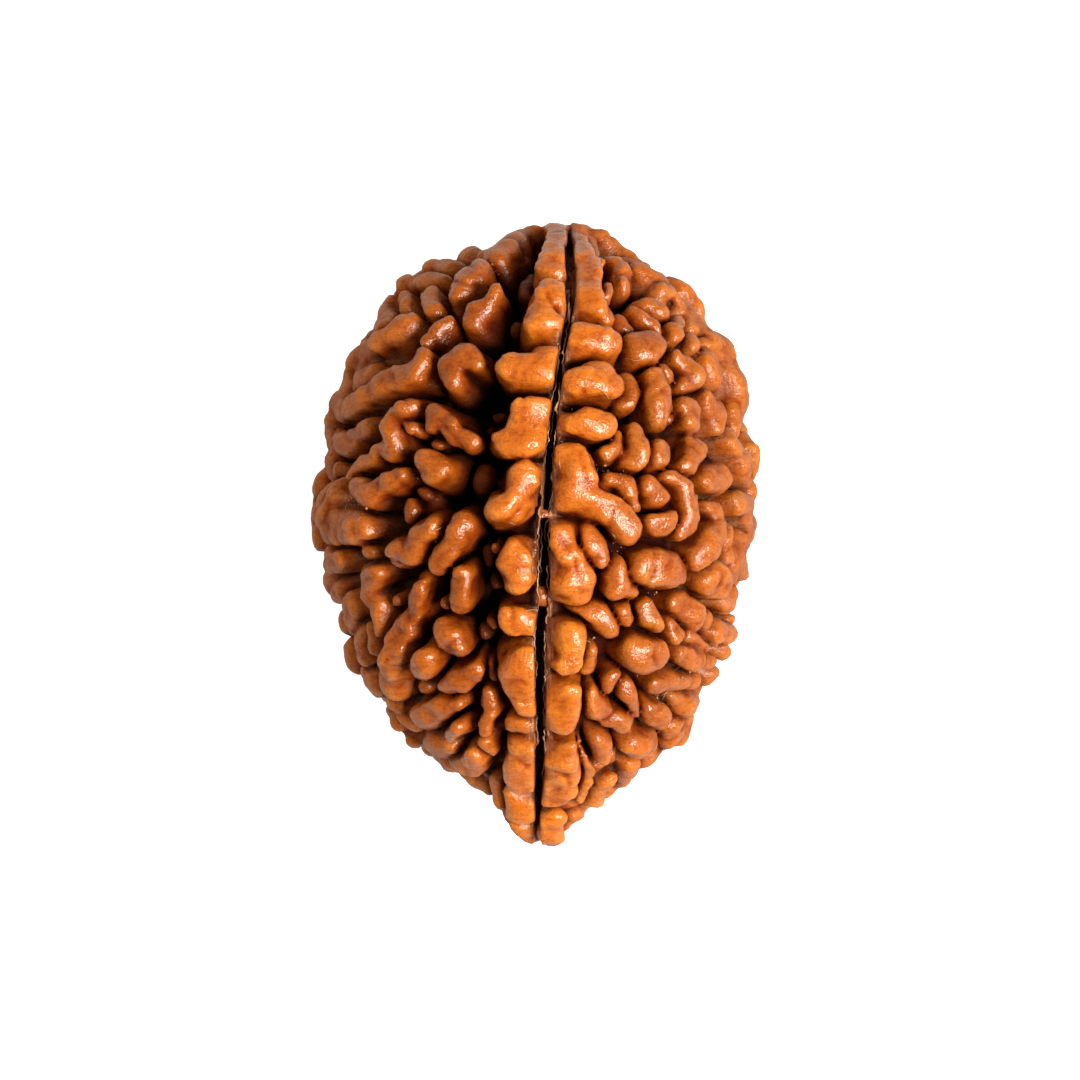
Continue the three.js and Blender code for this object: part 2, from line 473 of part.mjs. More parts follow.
// The surface's points: first the crests, so that every knob keeps its top, and then the lowest
// places left between them, never closer to each other than the spacing.
const candidates = [];
for (let i = 0; i < SPREAD; i += 1) {
  const tilt = Math.acos(1 - (2 * (i + 0.5)) / SPREAD);
  const turn = i * Math.PI * (3 - Math.sqrt(5));
  candidates.push(placeAt(along(heightFor, (tilt / Math.PI) * travelled, 1), turn));
}
candidates.sort((a, b) => a.relief - b.relief);
const crests = balls.map((ball) => placeAt(ball.y, ball.turn));
const chosen = [];
for (const place of [...crests, ...candidates]) {
  const tooClose = chosen.some((other) => other.seat.distanceTo(place.seat) < SPACING);
  if (!tooClose) chosen.push(place);
}

// On the plain ball the convex hull of the directions joins each point to its neighbours.
// The same triangles, on the points themselves, are the bead's surface.
const hull = new ConvexHull().setFromPoints(chosen.map((place) => place.direction));
const placeOf = new Map(chosen.map((place) => [place.direction, place]));
const corners = [];
for (const face of hull.faces) {
  let edge = face.edge;
  do {
    corners.push(...placeOf.get(edge.head().point).point.toArray());
    edge = edge.next;
  } while (edge !== face.edge);
}
const surface = new THREE.BufferGeometry();
surface.setAttribute("position", new THREE.Float32BufferAttribute(corners, 3));
const bead = mergeVertices(surface, 1e-5);

// The two clefts are one ring of wedge section that runs over both ends of the bead, and gets
// shallow and narrow there, so that the pointed end stays whole round the canal.
const ring = new THREE.TorusGeometry(1, 0.5, 4, STATIONS);
ring.deleteAttribute("normal");
ring.deleteAttribute("uv");
const ringPoints = ring.attributes.position;
for (let corner = 0; corner <= 4; corner += 1) {
  for (let station = 0; station <= STATIONS; station += 1) {
    const angle = ((station % STATIONS) / STATIONS) * 2 * Math.PI;
    const outer = corner % 4 < 2;
    const right = corner % 4 === 1 || corner % 4 === 2;
    const halfLong = outer ? LENGTH / 2 + 2 : LENGTH / 2 - KNOB - 0.15;
    const y = halfLong * Math.cos(angle);
    const depth = Math.min(CLEFT_DEPTH, Math.max(0.9 * halfWidth(y) - 0.5, 0.05));
    const innerHeight = (halfDepth(y) - depth) * Math.sign(Math.sin(angle));
    const z = outer ? (DEPTH / 2 + 2) * Math.sin(angle) : innerHeight;
    const narrow = Math.min(1, 0.3 + halfWidth(y) / 4);
    const halfGap = ((outer ? 1.4 * CLEFT_TOP : CLEFT_BOTTOM) / 2) * narrow;
    const x = cleft(y) + (right ? halfGap : -halfGap);
    ringPoints.setXYZ(corner * (STATIONS + 1) + station, x, y, z);
  }
}
const clefts = mergeVertices(ring, 1e-5);

// The canal runs from the middle of one end to the middle of the other.
const canal = new THREE.CylinderGeometry(CANAL / 2, CANAL / 2, LENGTH + 4, 10);
canal.deleteAttribute("normal");
canal.deleteAttribute("uv");
canal.rotateZ(-Math.atan2(cleft(LENGTH / 2) - cleft(-LENGTH / 2), LENGTH));
canal.translate((cleft(LENGTH / 2) + cleft(-LENGTH / 2)) / 2, 0, 0);

// A block that takes the worn flats off the lowest knobs.
bead.computeBoundingBox();
const bottom = bead.boundingBox.min.z + WORN;
const below = new THREE.BoxGeometry(40, 40, 10);
below.deleteAttribute("normal");
below.deleteAttribute("uv");
below.translate(0, 0, bottom - 5);

const wasm = await Module();
wasm.setup();

// A closed geometry as a solid, and a solid back as a geometry with its points on a fine grid.
function solidOf(geometry) {
  const merged = mergeVertices(geometry, GRID / 4);
  return new wasm.Manifold(
    new wasm.Mesh({
      numProp: 3,
      vertProperties: merged.attributes.position.array,
      triVerts: new Uint32Array(merged.index.array),
    }),
  );
}
function geometryOf(solid) {
  const { vertProperties, triVerts } = solid.getMesh();
  const snapped = vertProperties.map((value) => Math.round(value / GRID) * GRID);
  const geometry = new THREE.BufferGeometry();
  geometry.setAttribute("position", new THREE.BufferAttribute(snapped, 3));
  geometry.setIndex(new THREE.BufferAttribute(triVerts, 1));
  return geometry;
}

const cut = solidOf(bead).subtract(solidOf(clefts)).subtract(solidOf(canal)).subtract(solidOf(below));
// The cuts can free a crumb of a knob's edge: the bead is the largest body.
const bodies = solidOf(geometryOf(cut)).decompose();
const [stone] = bodies.sort((a, b) => b.volume() - a.volume());

const geometry = geometryOf(stone);
geometry.translate(0, 0, -bottom);
geometry.computeVertexNormals();
const material = new THREE.MeshStandardMaterial({ color: 0xb56a30, roughness: 0.5, metalness: 0 });
const rudrakshaBead = new THREE.Mesh(geometry, material);
rudrakshaBead.name = "rudraksha_bead";

const part = new THREE.Group();
part.add(rudrakshaBead);
export default part;
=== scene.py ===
import math

import bpy
import numpy as np
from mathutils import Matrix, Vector


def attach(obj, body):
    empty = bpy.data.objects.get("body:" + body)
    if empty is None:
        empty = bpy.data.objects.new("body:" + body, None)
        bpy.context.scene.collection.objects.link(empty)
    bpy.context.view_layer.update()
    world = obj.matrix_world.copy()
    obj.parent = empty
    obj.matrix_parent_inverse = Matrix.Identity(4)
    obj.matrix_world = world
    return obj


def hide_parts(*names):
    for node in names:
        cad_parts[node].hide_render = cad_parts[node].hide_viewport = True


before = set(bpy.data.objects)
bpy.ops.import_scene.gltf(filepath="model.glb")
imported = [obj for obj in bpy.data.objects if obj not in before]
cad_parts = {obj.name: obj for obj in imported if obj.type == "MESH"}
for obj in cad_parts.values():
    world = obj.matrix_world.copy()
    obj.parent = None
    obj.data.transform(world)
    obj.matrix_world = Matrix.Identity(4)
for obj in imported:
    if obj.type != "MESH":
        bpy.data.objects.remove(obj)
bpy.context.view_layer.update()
MM = 0.001


# The bead is the woody stone of one rudraksha fruit, dug out of its pulp, washed and dried. It grew as
# one thing: a knobbed oval stone with a cleft down each face, teeth beside it and winding ridges. It
# is made as a field on a grid, from knobs given one by one, and its mesh is where that field is zero.
# Lengths are in millimetres here, and Z is from the middle of the stone until the mesh is made.
# The seat is the smooth egg that the middles of the knobs lie on: Y, its middle X, its half width.
SEAT = [
    [-12.05, 0.05, 0], [-11.6, 0.1, 0.62], [-10.6, 0.3, 1.55], [-9.6, 0.3, 2.75], [-8.6, 0, 4.05],
    [-7.6, 0.1, 5.25], [-6.6, 0.05, 5.8], [-5.6, 0.1, 6.4], [-4.6, -0.15, 7.05], [-3.6, -0.1, 7.3],
    [-2.6, -0.2, 7.55], [-1.6, -0.15, 7.95], [-0.6, -0.1, 8.2], [0.4, -0.2, 8.35], [1.4, -0.2, 8.3],
    [2.4, 0, 8.2], [3.4, -0.05, 8.05], [4.4, -0.2, 7.95], [5.4, -0.1, 7.75], [6.4, 0.05, 7.35],
    [7.4, 0, 6.95], [8.4, 0, 6.2], [9.4, 0, 5.4], [10.4, 0.05, 4.15], [11.4, 0.4, 2.15],
    [11.8, 0.5, 1.2], [12.0, 0.55, 0],
]
# The cleft of the face, and of the back below it: Y and X.
CLEFT_LINE = [
    [-12.4, -0.02], [-11.3, -0.1], [-10, -0.05], [-8, 0], [-4, 0], [-2.5, 0.15], [0.5, 0.15],
    [1.5, 0.3], [3, 0.37], [5, 0.57], [7, 0.8], [8, 0.97], [9, 1.15], [10.5, 1.2], [11.5, 1.15],
    [12.4, 1.05],
]

# The face's knobs and ridges, as seen from above. Each row is one of them: its lift above the seat,
# then X, Y and radius at each bend along it.
# The left row of teeth, beside the cleft, from the blunt end to the pointed one.
LEFT_TEETH = [
    [0.2, [0.5, 11.95, 0.3], [0.52, 11.45, 0.4], [0.5, 10.9, 0.46], [0.43, 10.4, 0.54]],
    [0.3, [0.35, 9.35, 0.5], [0.25, 8.85, 0.55], [0.02, 8.2, 0.66]],
    [0.3, [0.05, 6.95, 0.46], [-0.15, 6.35, 0.62], [-0.9, 6.6, 0.62], [-1.3, 6.6, 0.42]],
    [0.3, [-0.4, 4.95, 0.56], [-0.62, 4.3, 0.66], [-0.7, 3.65, 0.6], [-1.25, 3.62, 0.62]],
    [0.3, [-0.68, 2.42, 0.6], [-0.75, 1.7, 0.5], [-0.85, 1.05, 0.58], [-1.5, 1.02, 0.6]],
    [0.3, [-0.8, -0.55, 0.5], [-1.05, -1.15, 0.68], [-0.8, -1.75, 0.5]],
    [0.3, [-0.72, -3.2, 0.48], [-1.15, -3.15, 0.54]],
    [0.3, [-0.62, -4.45, 0.38], [-0.95, -5.15, 0.66], [-0.88, -5.8, 0.58], [-0.6, -6.55, 0.36]],
    [-0.1, [-1.1, -7.35, 0.4], [-0.75, -7.4, 0.36]],
    [0.25, [-0.7, -8.1, 0.46], [-0.8, -8.8, 0.56], [-0.7, -9.5, 0.44]],
    [0.15, [-1.05, -9.9, 0.28], [-0.74, -10.35, 0.4], [-0.6, -10.8, 0.4]],
    [0.1, [-0.55, -11.3, 0.38], [-0.32, -11.85, 0.32]],
]
# Knobs that join what is on both sides of them: at the cleft's two ends, and on the right edge.
JOINING_KNOBS = [
    [0.1, [-0.08, -11.3, 0.3], [-0.03, -11.8, 0.26]],
    [0.1, [1.1, 11.45, 0.34], [1.12, 11.85, 0.32]],
    [0.1, [6.7, -3.7, 0.4], [7.25, -3.75, 0.36]],
]
# The right row of teeth.
RIGHT_TEETH = [
    [
        0.2, [1.5, 11.9, 0.28], [1.6, 11.4, 0.32], [1.72, 10.8, 0.4], [1.85, 10.2, 0.48],
        [1.95, 9.6, 0.52], [2.05, 9, 0.6], [2.3, 8.8, 0.5],
    ],
    [0.1, [1.95, 11.6, 0.22], [2.2, 11.1, 0.24], [2.32, 10.65, 0.22]],
    [0.1, [2.55, 8.75, 0.3], [2.65, 8.45, 0.3]],
    [0.05, [2.62, 9.7, 0.28], [2.6, 9.3, 0.28]],
    [0.25, [1.5, 7.55, 0.46], [2.1, 7.55, 0.5], [2.62, 7.35, 0.48]],
    [0.3, [1.6, 5.85, 0.66], [2.15, 5.95, 0.74], [2.55, 5.75, 0.52]],
    [0.3, [1.25, 4.25, 0.42], [1.9, 4.25, 0.56], [2.5, 4.22, 0.55]],
    [
        0.3, [1.2, 3.05, 0.55], [1.45, 2.35, 0.66], [1.4, 1.55, 0.62], [2.2, 1.15, 0.5],
        [2.95, 0.75, 0.46], [3.3, 0.2, 0.4],
    ],
    [0.3, [1, 0.1, 0.44], [1.15, -0.7, 0.56], [1.4, -1.5, 0.66], [1.35, -2.15, 0.58]],
    [0.05, [1.9, 0.2, 0.34], [2.1, -0.4, 0.4], [2.32, -0.85, 0.3]],
    [0.3, [1.1, -3.8, 0.56], [1.02, -4.7, 0.56]],
    [0, [1.5, -2.95, 0.34], [2.15, -3.1, 0.48], [2.6, -3.6, 0.58]],
    [0.1, [3.22, -2.75, 0.26], [3.12, -3.3, 0.36]],
    [0, [1.8, -4.6, 0.36], [1.75, -5.15, 0.38]],
    [0.3, [1.05, -5.95, 0.58], [0.98, -6.6, 0.56], [0.8, -7.2, 0.48]],
    [0.25, [1.1, -8.1, 0.46], [0.98, -8.75, 0.66], [0.92, -9.4, 0.62], [0.8, -10.05, 0.5]],
    [0.05, [1.52, -8.1, 0.22], [1.68, -8.9, 0.28], [1.7, -9.6, 0.28], [1.6, -10.2, 0.26]],
    [0.15, [0.68, -11, 0.5], [0.5, -11.5, 0.48], [0.38, -11.95, 0.4]],
    [0, [1.28, -11, 0.24]],
]
# The knobs and winding ridges on the left of the face.
LEFT_FACE = [
    [0, [-0.35, 12, 0.22], [-0.9, 11.55, 0.3], [-1.4, 11.1, 0.42], [-1.75, 10.8, 0.48]],
    [-0.25, [-1.65, 11.3, 0.36], [-2.05, 11.15, 0.34]],
    [0, [-2.45, 10.4, 0.48], [-2.85, 10, 0.66], [-3.2, 9.55, 0.48]],
    [0, [-1.75, 9.4, 0.3], [-2.3, 9, 0.42], [-2.65, 8.6, 0.44]],
    [-0.1, [-4.1, 10.6, 0.38], [-3.4, 10.55, 0.34]],
    [-0.05, [-5.6, 9.3, 0.4], [-5.1, 9.8, 0.36], [-4.4, 9.95, 0.34], [-3.9, 9.95, 0.3]],
    [-0.05, [-4.25, 9.5, 0.32], [-4.2, 9, 0.38]],
    [-0.1, [-5.25, 9.35, 0.3], [-5.2, 9, 0.28]],
    [0, [-5.75, 9.25, 0.38], [-6, 8.6, 0.4], [-5.95, 8.05, 0.36]],
    [
        0, [-4.75, 8.55, 0.32], [-5.15, 8.15, 0.38], [-5.5, 7.7, 0.36], [-6.2, 7.45, 0.4],
        [-6.9, 7.2, 0.48], [-7.2, 6.8, 0.48],
    ],
    [-0.05, [-7.25, 6.3, 0.42], [-7.4, 5.8, 0.36]],
    [-0.1, [-3.6, 8.5, 0.26], [-4.05, 8, 0.32], [-4.5, 7.55, 0.3]],
    [
        0.05, [-4.55, 7.05, 0.42], [-4.8, 6.45, 0.46], [-5.45, 6.15, 0.4], [-6.15, 5.8, 0.42],
        [-6.7, 5.45, 0.36], [-7.3, 5.15, 0.36], [-7.95, 4.95, 0.45],
    ],
    [0, [-8.05, 4.65, 0.5]],
    [0.05, [-2.45, 6.75, 0.36], [-2.95, 7.1, 0.46], [-3.5, 6.75, 0.48], [-3.4, 6.05, 0.46]],
    [
        0.05, [-5.05, 5.05, 0.44], [-5.45, 4.6, 0.54], [-5.75, 4.05, 0.54], [-5.75, 3.5, 0.46],
        [-6.35, 3.3, 0.26], [-6.85, 2.75, 0.24], [-7.25, 2.35, 0.22],
    ],
    [0.05, [-5.45, 4.5, 0.36], [-4.95, 4.4, 0.34]],
    [
        -0.05, [-4.2, 4.4, 0.26], [-4.15, 4.85, 0.34], [-3.65, 4.6, 0.38], [-3.25, 4.1, 0.42],
        [-2.75, 3.85, 0.34],
    ],
    [0.1, [-4.35, 3, 0.46], [-3.95, 2.75, 0.52], [-4.2, 2.35, 0.4]],
    [-0.6, [-4.3, 3.7, 0.36]],
    [0.05, [-7.05, 1.85, 0.42], [-6.55, 1.6, 0.48], [-6, 2.1, 0.4], [-5.55, 2.4, 0.42]],
    [-0.05, [-6.8, 4.3, 0.32], [-7.1, 3.95, 0.34], [-7.75, 3.7, 0.36], [-8.2, 3.6, 0.36]],
    [-0.05, [-7.9, 2.7, 0.28], [-8.45, 2.1, 0.36], [-8.6, 1.5, 0.4]],
    [0, [-7.75, 1.95, 0.34], [-8, 1.25, 0.52], [-8.25, 0.45, 0.62], [-7.5, 0.3, 0.48], [-6.75, 0.35, 0.46]],
    [-0.45, [-5.25, 1.35, 0.28], [-5.35, 0.85, 0.26]],
    [-0.7, [-4.85, 1.75, 0.34]],
    [0.1, [-5.55, -0.6, 0.58], [-5.05, -0.55, 0.6], [-4.7, 0.05, 0.46], [-4.25, 0.45, 0.34]],
    [0.05, [-4.1, -1.1, 0.44], [-3.8, -0.7, 0.42], [-3.4, -0.25, 0.38], [-3.1, 0.55, 0.44]],
    [
        0, [-6.55, -1.35, 0.46], [-6.75, -1.55, 0.42], [-6.65, -2.15, 0.26], [-6.3, -2.65, 0.36],
        [-6.2, -3.2, 0.28], [-6.15, -3.7, 0.22],
    ],
    [-0.3, [-6.7, -0.6, 0.34]],
    [0, [-8.15, -0.92, 0.4], [-7.7, -0.92, 0.34]],
    [-0.05, [-8.05, -1.9, 0.44], [-7.7, -2.1, 0.36]],
    [0, [-7.3, -2.7, 0.46], [-7.3, -3, 0.46]],
    [-0.15, [-5.7, -2.55, 0.28]],
    [
        0.05, [-4.68, -1.8, 0.3], [-4.85, -2.4, 0.4], [-4.95, -3, 0.34], [-5.3, -3.45, 0.42],
        [-5.6, -3.95, 0.4], [-5.65, -4.6, 0.46], [-5.75, -5.15, 0.58], [-5.6, -5.6, 0.64],
    ],
    [0.05, [-4.4, -4.6, 0.46], [-4.5, -5, 0.58]],
    [0, [-3.1, -1.55, 0.42], [-3.1, -2.1, 0.46], [-2.98, -2.65, 0.42]],
    [-0.4, [-3.85, -2.7, 0.28]],
    [0.05, [-3.8, -3.65, 0.5], [-3.45, -4.1, 0.6], [-3.2, -4.25, 0.46]],
    [0.05, [-3.5, -5.95, 0.52], [-2.9, -5.65, 0.58], [-2.4, -5.3, 0.44]],
    [-0.3, [-2, -5.25, 0.28], [-1.92, -5.85, 0.28]],
    [-0.1, [-6.62, -3.6, 0.22], [-6.6, -4.2, 0.32], [-6.3, -4.65, 0.26]],
    [0, [-7.35, -4.5, 0.5], [-7.05, -4.9, 0.48]],
    [-0.2, [-7.3, -3.8, 0.3]],
    [-0.5, [-4.6, -6.2, 0.42]],
    [0, [-4.5, -7, 0.52], [-3.85, -6.85, 0.54], [-3.25, -6.6, 0.42]],
    [0, [-3.55, -7.68, 0.34], [-3, -7.45, 0.38]],
    [0, [-4.15, -8.2, 0.52], [-3.75, -8.2, 0.48]],
    [0, [-5.6, -6.85, 0.5], [-5.35, -7.35, 0.5], [-4.95, -8.05, 0.4]],
    [-0.1, [-5.8, -6.35, 0.34]],
    [0, [-2.1, -6.3, 0.32], [-2.05, -7, 0.32], [-2.15, -7.65, 0.24]],
    [-0.05, [-2.1, -8, 0.26], [-1.82, -8.45, 0.26]],
    [0.1, [-2.5, -8.5, 0.54], [-2.62, -8.95, 0.64]],
    [-0.15, [-3.15, -9, 0.32]],
    [-0.1, [-1.62, -9.6, 0.32], [-1.38, -10.35, 0.28], [-1.12, -11.15, 0.28]],
    # The last ones are small knobs deep in the hollow beside the teeth.
    [-1.1, [-0.4, 10.9, 0.34], [-0.45, 10.2, 0.34]],
    [-1.3, [-1, 8.8, 0.38]],
    [-1.4, [-0.95, 7.4, 0.3]],
    [-1.3, [-1.7, 4.95, 0.34]],
    [-1.5, [-2.1, 4.2, 0.3]],
    [-1.3, [-2.4, 2.5, 0.44], [-2.45, 2, 0.38]],
    [-1, [-2.2, -0.6, 0.36], [-2.15, -1.15, 0.32]],
    [-1.1, [-1.85, -2.15, 0.36]],
    [-0.4, [-1.85, -3.5, 0.3]],
    [-1, [-2.4, -4, 0.44]],
    [-0.3, [-1.65, -0.45, 0.34]],
]
# The knobs and winding ridges on the right of the face.
RIGHT_FACE = [
    [0, [2.1, 11.75, 0.26], [2.6, 11.35, 0.28], [3.2, 11.05, 0.28], [3.75, 10.75, 0.28]],
    [0.05, [2.5, 10.85, 0.32], [3, 10.6, 0.34], [3.28, 10.15, 0.3], [3.35, 9.75, 0.28]],
    [-0.05, [4.2, 10.6, 0.28]],
    [0.05, [3.75, 10.3, 0.34], [4.2, 10.05, 0.4], [4.7, 9.85, 0.36], [4.78, 9.45, 0.36]],
    [0, [5.15, 9.85, 0.36], [5.5, 9.75, 0.42], [5.55, 9.4, 0.32]],
    [0, [4.05, 9, 0.28], [4.5, 8.8, 0.34], [4.85, 8.6, 0.3]],
    [0.05, [5.3, 8.35, 0.36], [5.15, 8, 0.42]],
    [0, [5.4, 8.9, 0.28], [5.8, 8.65, 0.34], [5.85, 8.2, 0.32]],
    [0, [6.15, 8.95, 0.24], [6.2, 8.5, 0.24]],
    [0.05, [3.75, 7.35, 0.52], [4.25, 7.45, 0.56]],
    [-0.35, [3.2, 8.45, 0.34], [3.6, 8.15, 0.3]],
    [-0.1, [3.65, 8.75, 0.18], [4.15, 8.35, 0.2], [4.6, 8.1, 0.2]],
    [0, [6.45, 7.75, 0.44], [6.85, 7.4, 0.56]],
    [-0.05, [5.75, 7.7, 0.24], [5.9, 7.35, 0.28]],
    [0.05, [6.5, 6.65, 0.52], [6.7, 6.45, 0.5]],
    [-0.05, [6.3, 7.6, 0.16], [6.85, 7.1, 0.2], [7.25, 6.75, 0.22]],
    [-0.15, [4.8, 6.8, 0.2], [5.05, 6.45, 0.26]],
    [0.05, [5.25, 6.95, 0.24], [5.65, 6.75, 0.32], [5.8, 6.3, 0.34], [5.6, 5.98, 0.26]],
    [0.05, [4.3, 6.4, 0.3], [4.5, 5.8, 0.38], [4.55, 5.2, 0.42], [4.6, 4.65, 0.34]],
    [-0.45, [3.4, 6.3, 0.3], [3.5, 5.75, 0.36], [3.35, 5.3, 0.38]],
    [0.05, [5.65, 5.3, 0.34], [5.85, 4.9, 0.38], [5.85, 4.45, 0.34]],
    [-0.45, [5.15, 4.8, 0.22]],
    [0, [7.3, 6.2, 0.54], [7.55, 5.65, 0.66], [7.55, 5.2, 0.54]],
    [0, [6.5, 5.45, 0.28], [6.85, 4.95, 0.46], [6.85, 4.35, 0.44]],
    [-0.05, [7.5, 4.8, 0.36], [7.55, 4.25, 0.34]],
    [0.1, [3.65, 3.95, 0.44], [3.7, 3.4, 0.5], [3.35, 2.95, 0.42]],
    [0, [3, 3.95, 0.34], [2.9, 3.5, 0.34], [2.55, 3.2, 0.34]],
    [0.05, [4.6, 3.5, 0.42], [4.5, 3, 0.42]],
    [0, [5.8, 3.8, 0.24], [6.05, 3.4, 0.4], [5.65, 2.85, 0.28], [5.45, 2.7, 0.24]],
    [0, [7.25, 4.05, 0.28], [7.35, 3.45, 0.34], [7.8, 2.95, 0.46], [8.05, 2.6, 0.48]],
    [-0.05, [7.9, 3.8, 0.34], [8.15, 3.3, 0.42], [8.2, 2.8, 0.4]],
    [0.05, [6.45, 2.2, 0.52], [6.95, 2.15, 0.5]],
    [0, [4.05, 1.85, 0.38], [4.5, 1.5, 0.42]],
    [0.05, [4.25, 0.5, 0.36], [4.8, 0.48, 0.4]],
    [
        0.05, [4.8, 2.3, 0.24], [5.3, 2.1, 0.28], [5.6, 1.6, 0.3], [5.7, 1, 0.32], [5.55, 0.5, 0.3],
        [5.3, 0.2, 0.24],
    ],
    [-0.1, [6, 1.5, 0.2], [6.02, 1.15, 0.2]],
    [-0.15, [2.7, 2.2, 0.24], [3.15, 2.05, 0.28], [3.45, 1.6, 0.26], [3.55, 1.15, 0.22]],
    [-0.45, [2.5, 1.85, 0.3]],
    [
        0.05, [6.4, 1.2, 0.2], [6.8, 1.05, 0.24], [6.8, 0.45, 0.34], [6.5, -0.1, 0.46], [6.1, -0.6, 0.42],
        [5.72, -1.05, 0.3],
    ],
    [0, [7.6, 1.3, 0.4], [8, 1.1, 0.48], [8.1, 0.4, 0.46], [8.1, -0.3, 0.44]],
    [-0.05, [7.3, 0.2, 0.24], [7.25, -0.2, 0.24]],
    [0, [7.2, -0.7, 0.28]],
    [0.1, [3.75, -1.3, 0.6], [4.3, -1.25, 0.74], [4.8, -1.3, 0.7], [5.2, -1.35, 0.52]],
    [0.05, [3, -1.25, 0.46], [2.95, -1.85, 0.62], [3.4, -2.15, 0.42]],
    [0.05, [3.88, -2.8, 0.36], [4.1, -3.2, 0.4], [4.35, -3.55, 0.28]],
    [0, [4.98, -3.4, 0.3], [5.08, -3.8, 0.36]],
    [0.05, [5.15, -2.55, 0.42], [5.65, -2.8, 0.4], [5.9, -3.25, 0.34]],
    [0, [6.4, -1.6, 0.54], [6.9, -1.75, 0.58]],
    [0, [7.9, -1, 0.46], [7.85, -1.4, 0.46]],
    [0.1, [3.55, -4.55, 0.66], [4.25, -4.6, 0.68]],
    [0.05, [5.4, -4.6, 0.34], [5.9, -4.75, 0.38], [6.4, -4.78, 0.26]],
    [-0.05, [5.6, -3.95, 0.18], [6, -4.2, 0.2], [6.5, -4.52, 0.18]],
    [0, [4.4, -5.8, 0.34], [5.1, -5.7, 0.4], [5.85, -5.7, 0.36]],
    [0, [6.55, -5.5, 0.4]],
    [-0.1, [6.35, -3.25, 0.3]],
    [-0.15, [6.6, -3.7, 0.24], [6.95, -4.2, 0.24]],
    [0, [7.35, -3.3, 0.36]],
    [-0.05, [7.25, -4, 0.3], [7.1, -4.6, 0.3]],
    [0, [7.2, -2.5, 0.36]],
    [-0.05, [5.25, -6.4, 0.38], [5.7, -6.7, 0.38]],
    [-0.05, [5.75, -7.25, 0.32], [5.5, -7.8, 0.32]],
    [0, [4.2, -6.75, 0.34], [4.7, -7.05, 0.4]],
    [0, [5.1, -7.4, 0.42], [5.0, -7.9, 0.44]],
    [0.05, [3.5, -8.05, 0.52], [4.1, -8.15, 0.54]],
    [0, [3.3, -9.05, 0.38], [3.28, -9.48, 0.36]],
    [0.05, [2.2, -7.9, 0.42], [2.35, -8.45, 0.42]],
    [0, [2.4, -9.6, 0.4], [2.15, -10.2, 0.38]],
    [
        0.1, [1.95, -6.1, 0.38], [2.05, -6.7, 0.44], [2.6, -7.05, 0.42], [3.15, -7.25, 0.36],
        [3.6, -7.15, 0.26],
    ],
    [0, [2.85, -5.5, 0.3], [2.55, -5.9, 0.3]],
    [0.05, [3.2, -5.8, 0.3], [3.45, -6.4, 0.3], [3.75, -6.95, 0.26]],
]

# The hollows of the face, beside the left row of teeth and among the ridges: X, Y, radius, depth.
HOLLOWS = [
    [-1, 10.2, 1, 1.8], [-1.3, 9.2, 0.9, 2.4], [-1.9, 7.6, 1.2, 2.6], [-2.2, 5.5, 1.3, 2.7],
    [-4.2, 5.6, 0.9, 1.6], [-2.4, 3.2, 1.2, 2.7], [-5.0, 3.4, 0.8, 1.6], [-2.6, 1.6, 1, 2.4],
    [-5.7, 1, 1, 1.7], [-2.1, -0.4, 0.9, 2.4], [-2.1, -1.8, 0.9, 2.2], [-4.2, -2.1, 0.9, 1.8],
    [-5.4, -1.8, 0.8, 1.7], [-2.2, -3.0, 0.9, 2.2], [-1.8, -4.4, 0.9, 2.0], [-3.3, -5.0, 0.9, 1.9],
    [-4.5, -5.8, 0.9, 1.6], [3.4, 4.8, 0.7, 1.6], [5.2, 4.2, 0.5, 1.4], [3.2, 9.1, 0.6, 1.3],
    [2.4, 0.4, 0.4, 1.2],
]
# Bits of dried pulp that bridge the cleft: X, Y, radius.
CLEFT_BITS = [
    [0.02, -2.3, 0.26], [0.12, -2.55, 0.2], [-0.12, -8.1, 0.14], [0.22, 0.85, 0.13], [1.12, 9.6, 0.16],
]
ROWS = LEFT_TEETH + JOINING_KNOBS + RIGHT_TEETH + LEFT_FACE + RIGHT_FACE
KNOB = 0.45  # the radius of a middling knob
WIDTH, DEPTH = 17.7, 17.2  # about the size over the knobs
FLATNESS = (DEPTH - 2 * KNOB) / (WIDTH - 2 * KNOB)
LIFT = 8.52  # from the table up to the middle of the stone
RIDGE_STEP = 0.5  # the most between two places along a ridge
ROOT = 2.8  # how deep a knob's root is looked for below its middle
GROOVE = 0.75  # how far the floor of most grooves lies below the seat
FLANK_TRIES = 4000  # how often a short ridge is tried on a flank
TRIANGLES = 195000
VOXEL = 0.12  # the step of the grid
LOW = np.array([-10.0, -13.4, -9.8])
HIGH = np.array([9.8, 13.4, 9.8])
stone_rng = np.random.default_rng(7)
seat_y, seat_mid, seat_half = np.array(SEAT).T
cleft_y, cleft_x = np.array(CLEFT_LINE).T


def middle(y):
    return np.interp(y, seat_y, seat_mid)


def half_width(y):
    return np.interp(y, seat_y, seat_half)


def cleft(y):
    return np.interp(y, cleft_y, cleft_x)


def slope(y):
    """How fast the seat widens towards the blunt end."""
    y = np.clip(y, seat_y[0], seat_y[-1])
    low, high = np.maximum(y - 0.15, seat_y[0]), np.minimum(y + 0.15, seat_y[-1])
    return (half_width(high) - half_width(low)) / (high - low)


def to_edges(y):
    """From the cleft to the left and to the right edge of the seat."""
    return cleft(y) - middle(y) + half_width(y), middle(y) + half_width(y) - cleft(y)


def seat_point(y, turn):
    """The place on the seat at y, at an angle round the long axis from the right edge."""
    half = half_width(y)
    return np.array([middle(y) + half * math.cos(turn), y, half * FLATNESS * math.sin(turn)])


def seat_normal(y, turn):
    normal = np.array([math.cos(turn), -float(slope(y)), math.sin(turn) / FLATNESS])
    return normal / np.linalg.norm(normal)


